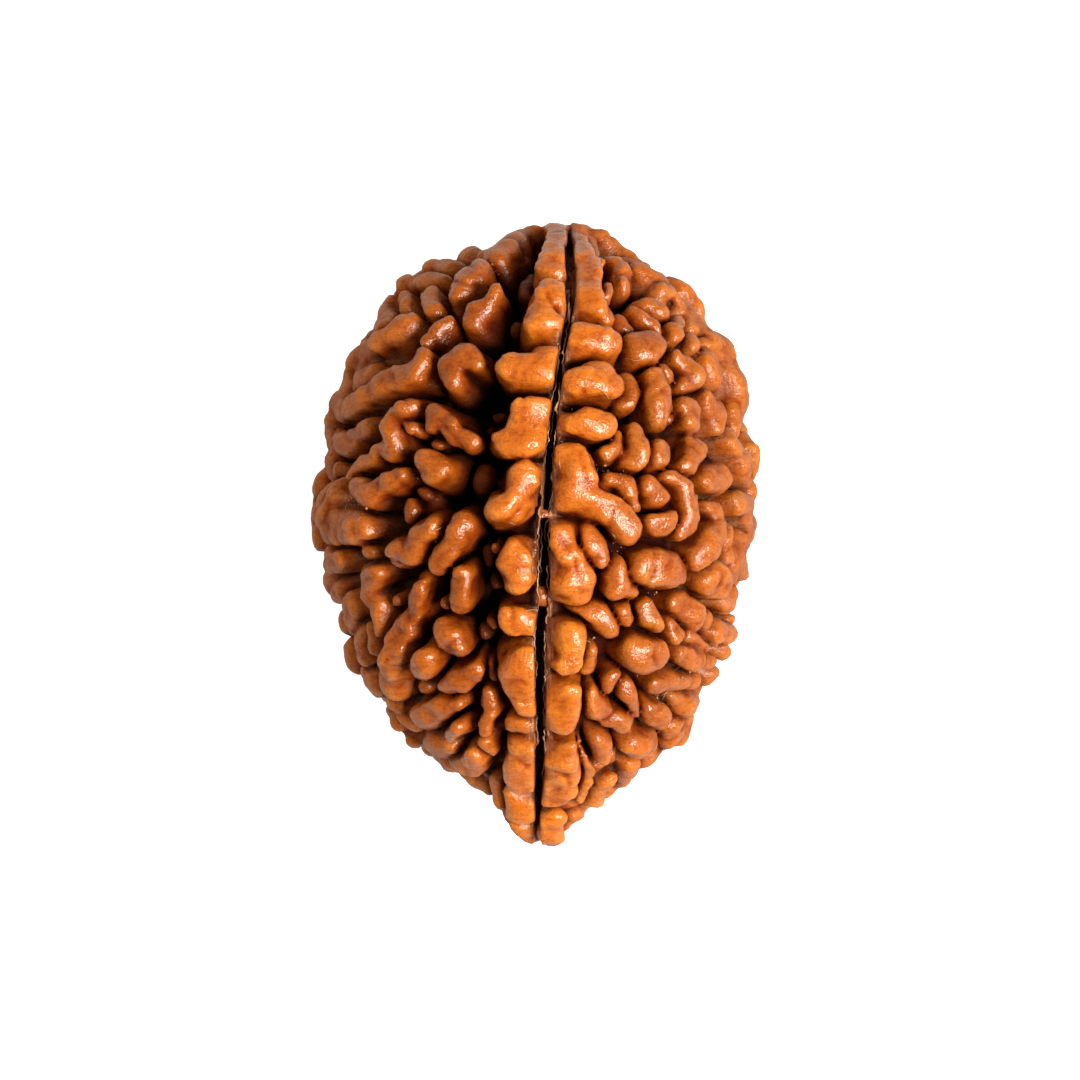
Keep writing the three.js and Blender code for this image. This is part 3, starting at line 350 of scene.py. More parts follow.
def on_seat(x, y, radius, lift, back=False):
    """A knob seen at x, y from above, as (centre, outward direction, radius).

    On the back it lies as far from the cleft on the other side, and has drifted along it.
    """
    if back:
        left, right = to_edges(y)
        share = min(max((x - cleft(y)) / (left if x < cleft(y) else right), -1), 1)
        y = min(max(y + 0.5 * math.sin(1.3 * y + 0.8), -11.9), 11.9)
        left, right = to_edges(y)
        x = cleft(y) - share * (left if share > 0 else right)
    across = (x - middle(y)) / max(half_width(y), 1e-3)
    turn = math.acos(min(max(across, -1), 1)) * (-1 if back else 1)
    centre, normal = seat_point(y, turn), seat_normal(y, turn)
    centre[0] = x
    # What is near the edge is seen foreshortened, and is larger than it looks.
    radius *= 1 + 0.15 * min(max((abs(across) - 0.78) / 0.15, 0), 1)
    return centre + (lift - 0.6 * (radius - KNOB)) * normal, normal, radius


def ridge(row, back=False):
    """The places along one knob or ridge, a little uneven as it grew, and fatter on the right side."""
    lift, bends = row[0], row[1:]
    places = [on_seat(*bends[0], lift, back)]
    for a, b in zip(bends, bends[1:]):
        steps = max(1, math.ceil(math.dist(a[:2], b[:2]) / RIDGE_STEP))
        for s in range(1, steps + 1):
            x, y, radius = (a[k] + (b[k] - a[k]) * s / steps for k in range(3))
            dx, dy, swell, rise = stone_rng.uniform(-1, 1, 4)
            radius *= 1 + 0.1 * swell + 0.09 * min(max(x - 2.5, 0), 1)
            y = min(max(y + 0.06 * dy, -11.95), 11.95)
            places.append(on_seat(x + 0.06 * dx, y, radius, lift + 0.07 * rise, back))
    return places


ridges = [ridge(row) for row in ROWS]
# The knobs at the edge are seen from both sides, so they aren't made again for the back.
for row in ROWS:
    x, y = row[1][:2]
    if abs(x - middle(y)) / max(half_width(y), 0.1) < 0.95:
        ridges.append(ridge(row, back=True))

# The flanks turn away from both faces. They are filled with short ridges drawn at random.
centres = [centre for line in ridges for centre, _, _ in line]
radii = [radius for line in ridges for _, _, radius in line]
for _ in range(FLANK_TRIES):
    y = stone_rng.uniform(-10.2, 11)
    turn = (0 if stone_rng.random() < 0.5 else math.pi) + stone_rng.uniform(-0.75, 0.75)
    radius, heading = stone_rng.uniform(0.5, 0.92), stone_rng.uniform(0, math.pi)
    line = []
    for step in (-1, 0, 1):
        py = y + step * 0.4 * math.sin(heading)
        p_turn = turn + step * 0.4 * math.cos(heading) / half_width(py)
        normal = seat_normal(py, p_turn)
        centre = seat_point(py, p_turn) - (0.1 + 0.6 * (radius - KNOB)) * normal
        line.append((centre, normal, radius))
    known, known_radii = np.array(centres), np.array(radii)
    gaps = [np.linalg.norm(known - c, axis=1) - 0.8 * (known_radii + radius) for c, _, _ in line]
    if min(gap.min() for gap in gaps) > 0:
        ridges.append(line)
        centres += [centre for centre, _, _ in line]
        radii += [radius] * 3

# The stone as a field on a grid of points: below zero inside it, above zero outside.
counts = np.ceil((HIGH - LOW) / VOXEL).astype(int) + 1
xs, ys, zs = (LOW[k] + VOXEL * np.arange(counts[k]) for k in range(3))
X, Y, Z = xs[:, None, None], ys[None, :, None], zs[None, None, :]


def noise(cell, seed):
    """Smooth random values over the grid, from about -1 to 1, with lumps about as wide as cell."""
    rng = np.random.default_rng(seed)
    values = rng.uniform(-2.2, 2.2, [int((HIGH - LOW)[k] / cell) + 5 for k in range(3)])
    for axis in range(3):
        place = VOXEL * np.arange(counts[axis]) / cell
        whole = place.astype(int)
        t = (place - whole).reshape([-1 if k == axis else 1 for k in range(3)])
        shares = ((1 - t) ** 3, 3 * t**3 - 6 * t**2 + 4, 3 * t + 3 * t**2 - 3 * t**3 + 1, t**3)
        values = sum(np.take(values, whole + k, axis) * shares[k] / 6 for k in range(4))
    return values.astype(np.float32)


def soft_min(a, b, width):
    mix = np.clip(0.5 + 0.5 * (b - a) / width, 0, 1)
    return b + (a - b) * mix - width * mix * (1 - mix)


# Nothing that grew is quite straight: each place is looked up a little aside of where it is.
# Beside the cleft the teeth are drawn in towards it, so that they end in a steep side there.
aside_x, aside_y, aside_z = (0.15 * noise(1.3, s) + 0.06 * noise(0.6, s + 3) for s in (11, 12, 13))
beside = X - cleft(ys)[None, :, None] + 0.06 * noise(1.6, 5)
aside_x = aside_x + 0.32 * np.sign(beside) * np.exp(-((beside / 0.5) ** 2))
nearest = np.full(counts, 9.0, np.float32)
second = np.full(counts, 9.0, np.float32)
merged = np.full(counts, 9.0, np.float32)
for line in ridges:
    ends = np.array([c for c, _, _ in line] + [c - ROOT * n for c, n, _ in line])
    reach = max(r for _, _, r in line) + 0.9
    first = np.maximum(((ends.min(0) - reach - LOW) / VOXEL).astype(int), 0)
    last = np.minimum(((ends.max(0) + reach - LOW) / VOXEL).astype(int) + 2, counts)
    block = tuple(slice(a, b) for a, b in zip(first, last))
    bx = xs[block[0]][:, None, None] + aside_x[block]
    by = ys[block[1]][None, :, None] + aside_y[block]
    bz = zs[block[2]][None, None, :] + aside_z[block]
    field = None
    for (c0, n0, r0), (c1, n1, r1) in zip(line, line[1:] if len(line) > 1 else line):
        run, up = c1 - c0, (n0 + n1) / np.linalg.norm(n0 + n1)
        px, py, pz = bx - c0[0], by - c0[1], bz - c0[2]
        share = np.clip((px * run[0] + py * run[1] + pz * run[2]) / max(run @ run, 1e-9), 0, 1)
        px, py, pz = px - share * run[0], py - share * run[1], pz - share * run[2]
        height = px * up[0] + py * up[1] + pz * up[2]
        aside = np.maximum(px**2 + py**2 + pz**2 - height**2, 0)
        radius = r0 + (r1 - r0) * share + 0.12 * np.maximum(-height, 0)
        distance = (aside**1.25 + np.maximum(height, 0) ** 2.5) ** 0.4 - radius
        field = distance if field is None else soft_min(field, distance, 0.12)
    second[block] = np.minimum(second[block], np.maximum(nearest[block], field))
    nearest[block] = np.minimum(nearest[block], field)
    merged[block] = soft_min(merged[block], field, 0.4)

# The grooves' floor follows the seat, the surface that the knobs' middles lie on.
half = np.maximum(half_width(ys), 0.05)[None, :, None]
out_x, out_z = X - middle(ys)[None, :, None], Z
reach = np.sqrt((out_x / half) ** 2 + (out_z / (half * FLATNESS)) ** 2)
radial = np.sqrt(out_x**2 + out_z**2) * (1 - 1 / np.maximum(reach, 1e-3))
from_seat = radial / np.sqrt(1 + slope(ys)[None, :, None] ** 2)
from_seat = np.maximum(from_seat, np.maximum(Y - seat_y[-1], seat_y[0] - Y)).astype(np.float32)
flank = np.clip((np.abs(out_x) / (half * np.maximum(reach, 1e-3)) - 0.68) / 0.2, 0, 1)
right_side = np.clip(0.5 + (X - 2) / 1.5, 0, 1)
floor_depth = np.full(counts, GROOVE, np.float32) - 0.25 * np.maximum(flank, 0.6 * right_side)
for x, y, radius, depth in HOLLOWS:
    away = ((X - x) ** 2 + (Y - y) ** 2) / radius**2
    floor_depth = np.maximum(floor_depth, GROOVE + (depth - GROOVE) * np.exp(-(away**2)) * (Z > 0))
floor_depth = np.minimum(floor_depth, 0.45 * half + 0.1)
core = from_seat + floor_depth + 0.12 * noise(0.8, 1) + 0.06 * noise(0.33, 8)

# Some knobs part in a sharp crease, and others run into each other, most of all on the flanks.
parted = np.clip(1.1 + 0.9 * noise(1.9, 6) - 0.6 * flank, 0, 1)
creased = nearest + 0.27 * np.exp(-(((second - nearest) / 0.22) ** 2))
stone = merged + (creased - merged) * parted
# The surface is uneven at two scales, and two winding sets of fine furrows run over it.
stone += 0.09 * noise(0.8, 2) + 0.085 * noise(0.38, 3) - 0.04 - 0.07 * np.maximum(flank, right_side)
stone += 0.08 * np.exp(-((noise(1.1, 14) / 0.09) ** 2)) + 0.05 * np.exp(-((noise(0.7, 15) / 0.1) ** 2))
stone = soft_min(stone, core, 0.2 + 0.3 * flank)

# A low rim runs along each side of the cleft, ragged where the two halves parted.
slot_y = [-12.2, -11.4, -9.5, -5, -1, 3, 6, 9, 10, 12]
slot_halves = [0.03, 0.1, 0.19, 0.21, 0.22, 0.17, 0.13, 0.14, 0.19, 0.17]
cleft_half = np.interp(ys, slot_y, slot_halves)
cleft_half = cleft_half[None, :, None] + 0.04 * np.clip(from_seat, -1, 1) + 0.05 * noise(0.5, 4)
rim_height = -0.2 + 0.18 * noise(0.9, 7) - 0.5 * np.clip(1 - 0.4 * half, 0, 1)
rim = np.maximum(np.abs(beside) - cleft_half - 0.12, from_seat - rim_height)
stone = soft_min(stone, rim, 0.14)

# The clefts go deep into the stone, and close to a shallow groove at its two ends.
cleft_depth = np.interp(ys, [7.5, 9, 10, 11.5], [1.7, 0.8, 0.35, 0.1])[None, :, None]
cleft_depth = np.minimum(cleft_depth, np.maximum(half - 0.75, 0.05))
in_cleft = np.maximum(np.abs(beside) - cleft_half, np.maximum(-(radial + cleft_depth), np.abs(Y) - 11.5))
groove_depth = np.interp(ys, [-12.1, -11.6, 11.4, 12.0], [0.08, 0.24, 0.24, 0.03])[None, :, None]
groove_half = np.interp(ys, [-11, 11], [0.08, 0.14])[None, :, None]
in_groove = np.maximum(np.maximum(np.abs(beside) - groove_half, -(stone + groove_depth)), 10.8 - np.abs(Y))
stone = np.maximum(stone, -np.minimum(in_cleft, in_groove))
for x, y, radius in CLEFT_BITS:
    z = float(FLATNESS * half_width(y)) - 0.35
    lump = np.sqrt((X - x) ** 2 + ((Y - y) / 1.3) ** 2 + (Z - z) ** 2) - radius + 0.06 * noise(0.3, 9)
    stone = soft_min(stone, lump, 0.1)

# The canal that a string goes through, and the worn places that the bead lies on.
lean = (cleft(12.4) - cleft(-12.4)) / 24.8
canal_radius = np.interp(ys, [-12, -10, 10], [0.2, 0.3, 0.35])[None, :, None]
canal = np.sqrt((X - (cleft(-12.4) + lean * (Y + 12.4))) ** 2 + Z**2) - canal_radius
stone = np.maximum(stone, -canal)
stone = np.maximum(stone, -LIFT - Z)


def surface_of(values):
    """The surface at zero, as points in grid steps and four-sided faces.

    Each cell of the grid that the surface runs through has one point, at the mean of the places
    where the surface crosses the cell's edges. Each crossed edge has one face, round its four cells.
    """
    inside = values < 0
    cells = [n - 1 for n in values.shape]
    total, crossings = np.zeros(cells + [3], np.float32), np.zeros(cells, np.float32)
    for axis in range(3):
        others = [k for k in range(3) if k != axis]
        low = [slice(None)] * 3
        high = [slice(None)] * 3
        low[axis], high[axis] = slice(0, -1), slice(1, None)
        a, b = values[tuple(low)], values[tuple(high)]
        crossed = (a < 0) != (b < 0)
        share = np.where(crossed, a / np.where(crossed, a - b, 1), 0).astype(np.float32)
        for i in (0, 1):
            for j in (0, 1):
                part = [slice(None)] * 3
                part[others[0]] = slice(i, cells[others[0]] + i)
                part[others[1]] = slice(j, cells[others[1]] + j)
                hit = crossed[tuple(part)]
                total[..., axis] += share[tuple(part)] * hit
                total[..., others[0]] += i * hit
                total[..., others[1]] += j * hit
                crossings += hit
    used = crossings > 0
    number = np.full(cells, -1, np.int64)
    number[used] = np.arange(used.sum())
    points = np.argwhere(used) + total[used] / crossings[used][:, None]
    faces = []
    for axis in range(3):
        u, v = (axis + 1) % 3, (axis + 2) % 3
        start = [slice(1, -1)] * 3
        end = [slice(1, -1)] * 3
        start[axis], end[axis] = slice(0, -1), slice(1, None)
        a, b = inside[tuple(start)], inside[tuple(end)]
        for rising in (True, False):
            place = np.argwhere((a & ~b) if rising else (~a & b))
            place[:, [u, v]] += 1
            corners = []
            for du, dv in ((-1, -1), (0, -1), (0, 0), (-1, 0)):
                cell = place.copy()
                cell[:, u] += du
                cell[:, v] += dv
                corners.append(number[tuple(cell.T)])
            faces.append(np.stack(corners if rising else corners[::-1], axis=1))
    return points, np.concatenate(faces)


points, faces = surface_of(stone)


def keep_largest(points, faces):
    """The largest body of the surface, without any hollow that is sealed inside it."""
    body = np.arange(len(points))
    while True:
        lowest = body[faces].min(axis=1)
        grown = body.copy()
        for k in range(4):
            np.minimum.at(grown, faces[:, k], lowest)
        grown = grown[grown]
        if (grown == body).all():
            break
        body = grown
    names, sizes = np.unique(body, return_counts=True)
    kept = body == names[sizes.argmax()]
    number = np.cumsum(kept) - 1
    return points[kept], number[faces[kept[faces[:, 0]]]]


points, faces = keep_largest(points, faces)


def near(values, width):
    """The mean of values over a cube of that width, in millimetres, round each grid point."""
    steps = max(1, round(width / VOXEL / 2))
    for axis in range(3):
        pad = [(steps + 1, steps) if k == axis else (0, 0) for k in range(3)]
        total = np.cumsum(np.pad(values, pad, mode="edge"), axis=axis, dtype=np.float32)
        count = values.shape[axis]
        high = np.take(total, range(2 * steps + 1, 2 * steps + 1 + count), axis)
        low = np.take(total, range(0, count), axis)
        values = (high - low) / (2 * steps + 1)
    return values


def at_points(values, places):
    """The grid's values at places given in grid steps, mixed from the eight grid points round each."""
    whole = np.minimum(places.astype(int), np.array(values.shape) - 2)
    part = places - whole
    found = 0
    for i in (0, 1):
        for j in (0, 1):
            for k in (0, 1):
                share = abs(1 - i - part[:, 0]) * abs(1 - j - part[:, 1]) * abs(1 - k - part[:, 2])
                found = found + share * values[whole[:, 0] + i, whole[:, 1] + j, whole[:, 2] + k]
    return found


solid = (stone < 0).astype(np.float32)
bead_mesh = bpy.data.meshes.new("rudraksha_stone")
places = (LOW + VOXEL * points + [0, 0, LIFT]) * MM
bead_mesh.from_pydata(places.tolist(), [], faces.tolist())
bead_mesh.polygons.foreach_set("use_smooth", np.ones(len(faces), bool))
# Painted light and shade by zone: paler beside the cleft and over the pointed end, darker in the band
# between, on the flanks and deep in the grooves.
painted_zone_light_shade = 0.8 * np.exp(-((beside / 2.2) ** 4)) * (from_seat > -0.6) * (1 - flank) + 0.3 * flank
pointed_end = np.clip((-7 - ys) / 3, 0, 1)[None, :, None]
painted_zone_light_shade = np.maximum(painted_zone_light_shade, pointed_end * (from_seat > -0.6))
beside_rim = np.exp(-(((np.abs(beside) - cleft_half - 0.1) / 0.14) ** 2)) * (from_seat < 0.35)
blunt_end = np.clip(ys - 8.5, 0, 1)[None, :, None]
beside_rim = beside_rim * (1 - 0.8 * blunt_end) + 0.5 * blunt_end * (np.abs(beside) < cleft_half + 0.06)
for name, values in (
    ("height", from_seat),
    ("rim", beside_rim.astype(np.float32)),
    ("flank", np.clip(flank + 0.6 * pointed_end, 0, 1).astype(np.float32)),
    ("painted_zone_light_shade", near(painted_zone_light_shade.astype(np.float32), 0.8)),
    ("narrow_cavity", near(solid, 0.5)),
):
    layer = bead_mesh.attributes.new(name, "FLOAT", "POINT")
    layer.data.foreach_set("value", at_points(values, points).astype(np.float32))
bead = bpy.data.objects.new("rudraksha_stone", bead_mesh)
bpy.context.collection.objects.link(bead)
thin = bead.modifiers.new("fewer faces", "DECIMATE")
thin.ratio = TRIANGLES / (2 * len(faces))
thinned = bpy.data.meshes.new_from_object(bead.evaluated_get(bpy.context.evaluated_depsgraph_get()))
bead.modifiers.clear()
bead.data = thinned
thinned.name = "rudraksha_stone"
bpy.data.meshes.remove(bead_mesh)


def node(tree, kind, place, **values):
    """A new node. A value goes to the input of that name, or else to the node's own setting."""
    made = tree.nodes.new(kind)
    made.location = place
    for key, value in values.items():
        if key in made.inputs:
            made.inputs[key].default_value = value
        else:
            setattr(made, key, value)
    return made


def new_material(name):
    """A new material, its node tree, its shader and the object's own coordinates."""
    made = bpy.data.materials.new(name)
    made.use_nodes = True
    own_coords = node(made.node_tree, "ShaderNodeTexCoord", (-1900, 0)).outputs["Object"]
    return made, made.node_tree, made.node_tree.nodes["Principled BSDF"], own_coords


def attribute(tree, place, name):
    return node(tree, "ShaderNodeAttribute", place, attribute_name=name).outputs["Fac"]


def stretched(tree, place, vector, scale):
    made = node(tree, "ShaderNodeMapping", place, Scale=scale)
    tree.links.new(vector, made.inputs["Vector"])
    return made.outputs["Vector"]


def texture(tree, place, vector, **values):
    made = node(tree, "ShaderNodeTexNoise", place, **values)
    tree.links.new(vector, made.inputs["Vector"])
    return made.outputs["Fac"]


def ramp(tree, place, value, stops):
    """A colour for each value, from stops of a position and a colour."""
    made = node(tree, "ShaderNodeValToRGB", place)
    tree.links.new(value, made.inputs["Fac"])
    elements = made.color_ramp.elements
    elements[0].position, elements[0].color = stops[0][0], (*stops[0][1], 1)
    elements[1].position, elements[1].color = stops[-1][0], (*stops[-1][1], 1)
    for position, color in stops[1:-1]:
        elements.new(position).color = (*color, 1)
    return made.outputs["Color"]


def mixed(tree, place, first, second, share=None):
    """Two colours mixed by a share, or multiplied where no share is given."""
    blend = "MIX" if share else "MULTIPLY"
    made = node(tree, "ShaderNodeMix", place, data_type="RGBA", blend_type=blend)
    made.inputs["Factor"].default_value = 1
    if share:
        tree.links.new(share, made.inputs["Factor"])
    tree.links.new(first, made.inputs["A"])
    tree.links.new(second, made.inputs["B"])
    return made.outputs["Result"]


def product(tree, place, first, second):
    made = node(tree, "ShaderNodeMath", place, operation="MULTIPLY")
    tree.links.new(first, made.inputs[0])
    tree.links.new(second, made.inputs[1])
    return made.outputs["Value"]


def eased(tree, place, value, start, end, low=0, high=1):
    """A value between start and end, brought to the range from low to high and held within it."""
    ranges = {"From Min": start, "From Max": end, "To Min": low, "To Max": high}
    made = node(tree, "ShaderNodeMapRange", place, **ranges)
    tree.links.new(value, made.inputs["Value"])
    return made.outputs["Result"]


# The wood is orange brown on the knobs. Painted shade darkens it with depth, to near black deep in the
# grooves, and darker still where it is narrow and hollow.
stone_skin, tree, shader, coords = new_material("rudraksha_stone_skin")
height = attribute(tree, (-1600, 400), "height")
narrow = attribute(tree, (-1600, 200), "narrow_cavity")
flank_mask = attribute(tree, (-1600, 900), "flank")
by_height = ramp(tree, (-1100, 400), eased(tree, (-1300, 400), height, -2.2, 0.8), [
    (0, (0.006, 0.002, 0.001)), (0.30, (0.028, 0.007, 0.003)), (0.55, (0.14, 0.026, 0.004)),
    (0.72, (0.32, 0.069, 0.005)), (1, (0.52, 0.138, 0.011)),
])
# Painted shade: darker in narrow hollows; a slight painted highlight makes sharp crests a little paler.
shade = ramp(tree, (-1100, 100), narrow, [
    (0.36, (1.06, 1.08, 1.08)), (0.46, (0.9, 0.8, 0.7)), (0.54, (0.6, 0.4, 0.28)),
    (0.66, (0.22, 0.11, 0.07)), (0.8, (0.04, 0.02, 0.012)),
])
color = mixed(tree, (-800, 300), by_height, shade)
# The zones' painted light and shade: darker in the band beside the teeth, on the flanks and deep down,
# paler at the pointed end.
painted_zone_light_shade_color = ramp(tree, (-1100, -200), attribute(tree, (-1600, -200), "painted_zone_light_shade"), [
    (0, (0.77, 0.72, 0.67)), (0.64, (1.03, 1.03, 1.03)), (0.8, (1.04, 1.05, 1.06)), (1, (1.2, 1.25, 1.3)),
])
color = mixed(tree, (-700, 250), color, painted_zone_light_shade_color)
patches = texture(tree, (-1400, -400), coords, Scale=420, Detail=4, Roughness=0.6)
mottle = ramp(tree, (-1100, -400), patches, [
    (0.3, (0.93, 0.88, 0.83)), (0.52, (1, 1, 1)), (0.72, (1.06, 1.24, 1.4)),
])
color = mixed(tree, (-600, 200), color, mottle)

# Fine dark specks, left by the pulp, cover the wood.
specks = texture(tree, (-1100, -700), coords, Scale=5200, Detail=3, Roughness=0.6)
speck_color = ramp(tree, (-900, -700), specks, [
    (0.32, (0.74, 0.64, 0.56)), (0.46, (0.98, 0.98, 0.98)), (0.72, (1.08, 1.12, 1.15)),
])
color = mixed(tree, (-500, 100), color, speck_color)

# The flanks and the pointed end have pale, pinker patches: dust, and a painted sheen where the surface
# turns away from above.
dust_and_sheen_noise = texture(tree, (-1400, 1000), coords, Scale=1400, Detail=5, Roughness=0.7)
dust_and_sheen_share = ramp(tree, (-1200, 1000), dust_and_sheen_noise, [(0.42, (0, 0, 0)), (0.7, (0.4, 0.4, 0.4))])
dust_and_sheen = product(tree, (-900, 900), flank_mask, dust_and_sheen_share)
dust_and_sheen_color = node(tree, "ShaderNodeRGB", (-700, 700)).outputs["Color"]
dust_and_sheen_color.default_value = (0.46, 0.20, 0.09, 1)
color = mixed(tree, (-450, 600), color, dust_and_sheen_color, dust_and_sheen)

# The rim beside the cleft is paler and pinker, with fine fibres along it.
along_cleft = stretched(tree, (-1400, 700), coords, (9000, 700, 3000))
fibres = texture(tree, (-1200, 700), along_cleft, Scale=1, Detail=3)
rim_color = ramp(tree, (-1000, 700), fibres, [
    (0.35, (0.06, 0.016, 0.006)), (0.55, (0.26, 0.10, 0.05)), (0.7, (0.52, 0.28, 0.16)),
])
color = mixed(tree, (-400, 400), color, rim_color, attribute(tree, (-1600, 700), "rim"))

# Soft dark lines run over the knobs, from one side of the stone to the other.
across = stretched(tree, (-1200, -1150), coords, (700, 3000, 2000))
creases = texture(tree, (-800, -850), across, Scale=1, Detail=3, Roughness=0.55)
lines = ramp(tree, (-500, -850), creases, [
    (0, (1, 1, 1)), (0.44, (1, 1, 1)), (0.49, (0.84, 0.74, 0.66)), (0.54, (1, 1, 1)), (1, (1, 1, 1)),
])
tree.links.new(mixed(tree, (-250, 300), color, lines), shader.inputs["Base Color"])

# Fine wrinkles over the knobs, and a grain on top that breaks up every highlight.
wrinkled = stretched(tree, (-1200, -900), coords, (500, 1500, 900))
wrinkles = texture(
    tree, (-800, -600), wrinkled, noise_type="RIDGED_MULTIFRACTAL", Scale=1, Detail=4, Distortion=0.6
)
deep = node(tree, "ShaderNodeBump", (-500, -600), Strength=0.55, Distance=0.0001, invert=True)
tree.links.new(wrinkles, deep.inputs["Height"])
grain = texture(tree, (-800, -300), coords, Scale=9000, Detail=2, Roughness=0.6)
bump = node(tree, "ShaderNodeBump", (-300, -300), Strength=1, Distance=0.00004)
tree.links.new(grain, bump.inputs["Height"])
tree.links.new(deep.outputs["Normal"], bump.inputs["Normal"])
tree.links.new(bump.outputs["Normal"], shader.inputs["Normal"])
tree.links.new(bump.outputs["Normal"], shader.inputs["Coat Normal"])

# The knobs' tops are polished by handling. The grooves are matte, and so, less, are the flanks.
polish = eased(tree, (-500, 0), narrow, 0.58, 0.42)
handled = eased(tree, (-700, -100), height, -1, 0.1)
gloss = product(tree, (-300, 100), polish, handled)
matte = eased(tree, (-500, -150), flank_mask, 0, 1, 1, 0.4)
tree.links.new(product(tree, (-150, 50), gloss, matte), shader.inputs["Coat Weight"])
tree.links.new(eased(tree, (-150, -100), gloss, 0, 1, 0.75, 0.5), shader.inputs["Roughness"])
shader.inputs["Coat Roughness"].default_value = 0.2
shader.inputs["Coat IOR"].default_value = 1.6
shader.inputs["Specular IOR Level"].default_value = 0.06
bead.data.materials.clear()
bead.data.materials.append(stone_skin)
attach(bead, "root")
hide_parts("rudraksha_bead")


# A thin papery skin lined the cleft. It dried, tore and stands up in ragged strips along both edges.
# Each strip is a narrow closed band of its own, drawn along the cleft's edge with a seeded wander.
shown = (stone < 0).any(axis=2)
highest = np.where(shown, counts[2] - 1 - np.argmax((stone < 0)[:, :, ::-1], axis=2), 0)
grid_x, grid_y = np.ogrid[: counts[0], : counts[1]]
below, above = stone[grid_x, grid_y, highest], stone[grid_x, grid_y, highest + 1]
top_of_stone = np.where(shown, zs[highest] + VOXEL * below / np.where(shown, below - above, 1), -9.0)
skin_rng = np.random.default_rng(21)


def top_at(x, y):
    """The height of the stone's top at x, y."""
    i, j = (np.array([x, y]) - LOW[:2]) / VOXEL
    return float(top_of_stone[int(round(i)), int(round(j))])


def slot_half(y):
    return float(np.interp(y, slot_y, slot_halves))


def rim_top(x, y):
    """The height of the rim beside the cleft."""
    across = min(abs(x - middle(y)) / half_width(y), 1)
    return FLATNESS * half_width(y) * math.sqrt(1 - across**2) - 0.2


def wander(count, step, pull=0.85):
    """A run of values that drift to and fro about zero."""
    values = [0.0]
    for _ in range(count - 1):
        values.append(pull * values[-1] + skin_rng.normal(0, step))
    return values


def strip(side, start, end):
    """One torn strip along an edge of the cleft, 0.04 mm thick and thinner at its top."""
    count = max(4, int((end - start) / 0.09))
    lean, tear = wander(count, 0.035), wander(count, 0.07)
    points, faces = [], []
    for k in range(count):
        y = start + (end - start) * k / (count - 1)
        ends = min(1.0, 4 * min(k, count - 1 - k) / count)
        x = cleft(y) + side * (slot_half(y) - 0.01)
        low = rim_top(x, y) - 0.45
        high = low + 0.45 + ends * (0.16 + abs(tear[k]))
        out = -side * lean[k]
        middle_z = 0.5 * (low + high)
        points += [
            (x - 0.02, y, low), (x + 0.4 * out - 0.02, y, middle_z), (x + out - 0.012, y, high),
            (x + out + 0.012, y, high), (x + 0.4 * out + 0.02, y, middle_z), (x + 0.02, y, low),
        ]
        if k:
            a, b = 6 * (k - 1), 6 * k
            faces += [(a + m, a + (m + 1) % 6, b + (m + 1) % 6, b + m) for m in range(6)]
    last = 6 * (count - 1)
    faces += [(5, 4, 3, 2, 1, 0), tuple(last + m for m in range(6))]
    return points, faces


def loose_piece(name, parts, material):
    """One piece from parts that each have points and faces."""
    points, faces = [], []
    for part_points, part_faces in parts:
        faces += [tuple(len(points) + v for v in face) for face in part_faces]
        points += part_points
    mesh = bpy.data.meshes.new(name)
    mesh.from_pydata([(px * MM, py * MM, (pz + LIFT) * MM) for px, py, pz in points], [], faces)
    mesh.polygons.foreach_set("use_smooth", np.ones(len(faces), bool))
    mesh.materials.append(material)
    piece = bpy.data.objects.new(name, mesh)
    bpy.context.collection.objects.link(piece)
    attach(piece, "root")


papery, tree, shader, coords = new_material("papery_skin")
lengthwise = stretched(tree, (-700, 0), coords, (6000, 900, 2500))
streaks = texture(tree, (-500, 0), lengthwise, Scale=1, Detail=3)
tan = ramp(tree, (-300, 0), streaks, [
    (0.35, (0.10, 0.03, 0.012)), (0.55, (0.36, 0.16, 0.08)), (0.72, (0.72, 0.48, 0.32)),
])
tree.links.new(tan, shader.inputs["Base Color"])
shader.inputs["Roughness"].default_value = 0.7

strips = []
for side in (-1, 1):
    y = -9.8
    while y < 9.2:
        length = skin_rng.uniform(0.9, 3.2)
        strips.append(strip(side, y, min(y + length, 9.6)))
        y += length + skin_rng.uniform(0.05, 0.5)
loose_piece("cleft_skin", strips, papery)


# Fibres of the pulp dried onto the stone: long threads in the cleft, and loose hairs and dry crumbs
# in the grooves. Each thread is a thin tube, five-sided, and each crumb a small uneven lump.
def thread(course, radius):
    """A thread along a course, thinner at its two ends."""
    course = np.array(course, float)
    runs = np.gradient(course, axis=0)
    runs /= np.maximum(np.linalg.norm(runs, axis=1), 1e-6)[:, None]
    one_way = np.cross(runs, [0.31, 0.22, 0.93])
    one_way /= np.linalg.norm(one_way, axis=1)[:, None]
    other_way = np.cross(runs, one_way)
    points, faces = [], []
    for k, centre in enumerate(course):
        r = radius * min(1, 0.35 + 2.5 * min(k, len(course) - 1 - k) / len(course))
        for m in range(5):
            turn = 2 * math.pi * m / 5
            points.append(tuple(centre + r * (math.cos(turn) * one_way[k] + math.sin(turn) * other_way[k])))
        if k:
            a, b = 5 * (k - 1), 5 * k
            faces += [(a + m, a + (m + 1) % 5, b + (m + 1) % 5, b + m) for m in range(5)]
    last = 5 * (len(course) - 1)
    faces += [(4, 3, 2, 1, 0), tuple(last + m for m in range(5))]
    return points, faces


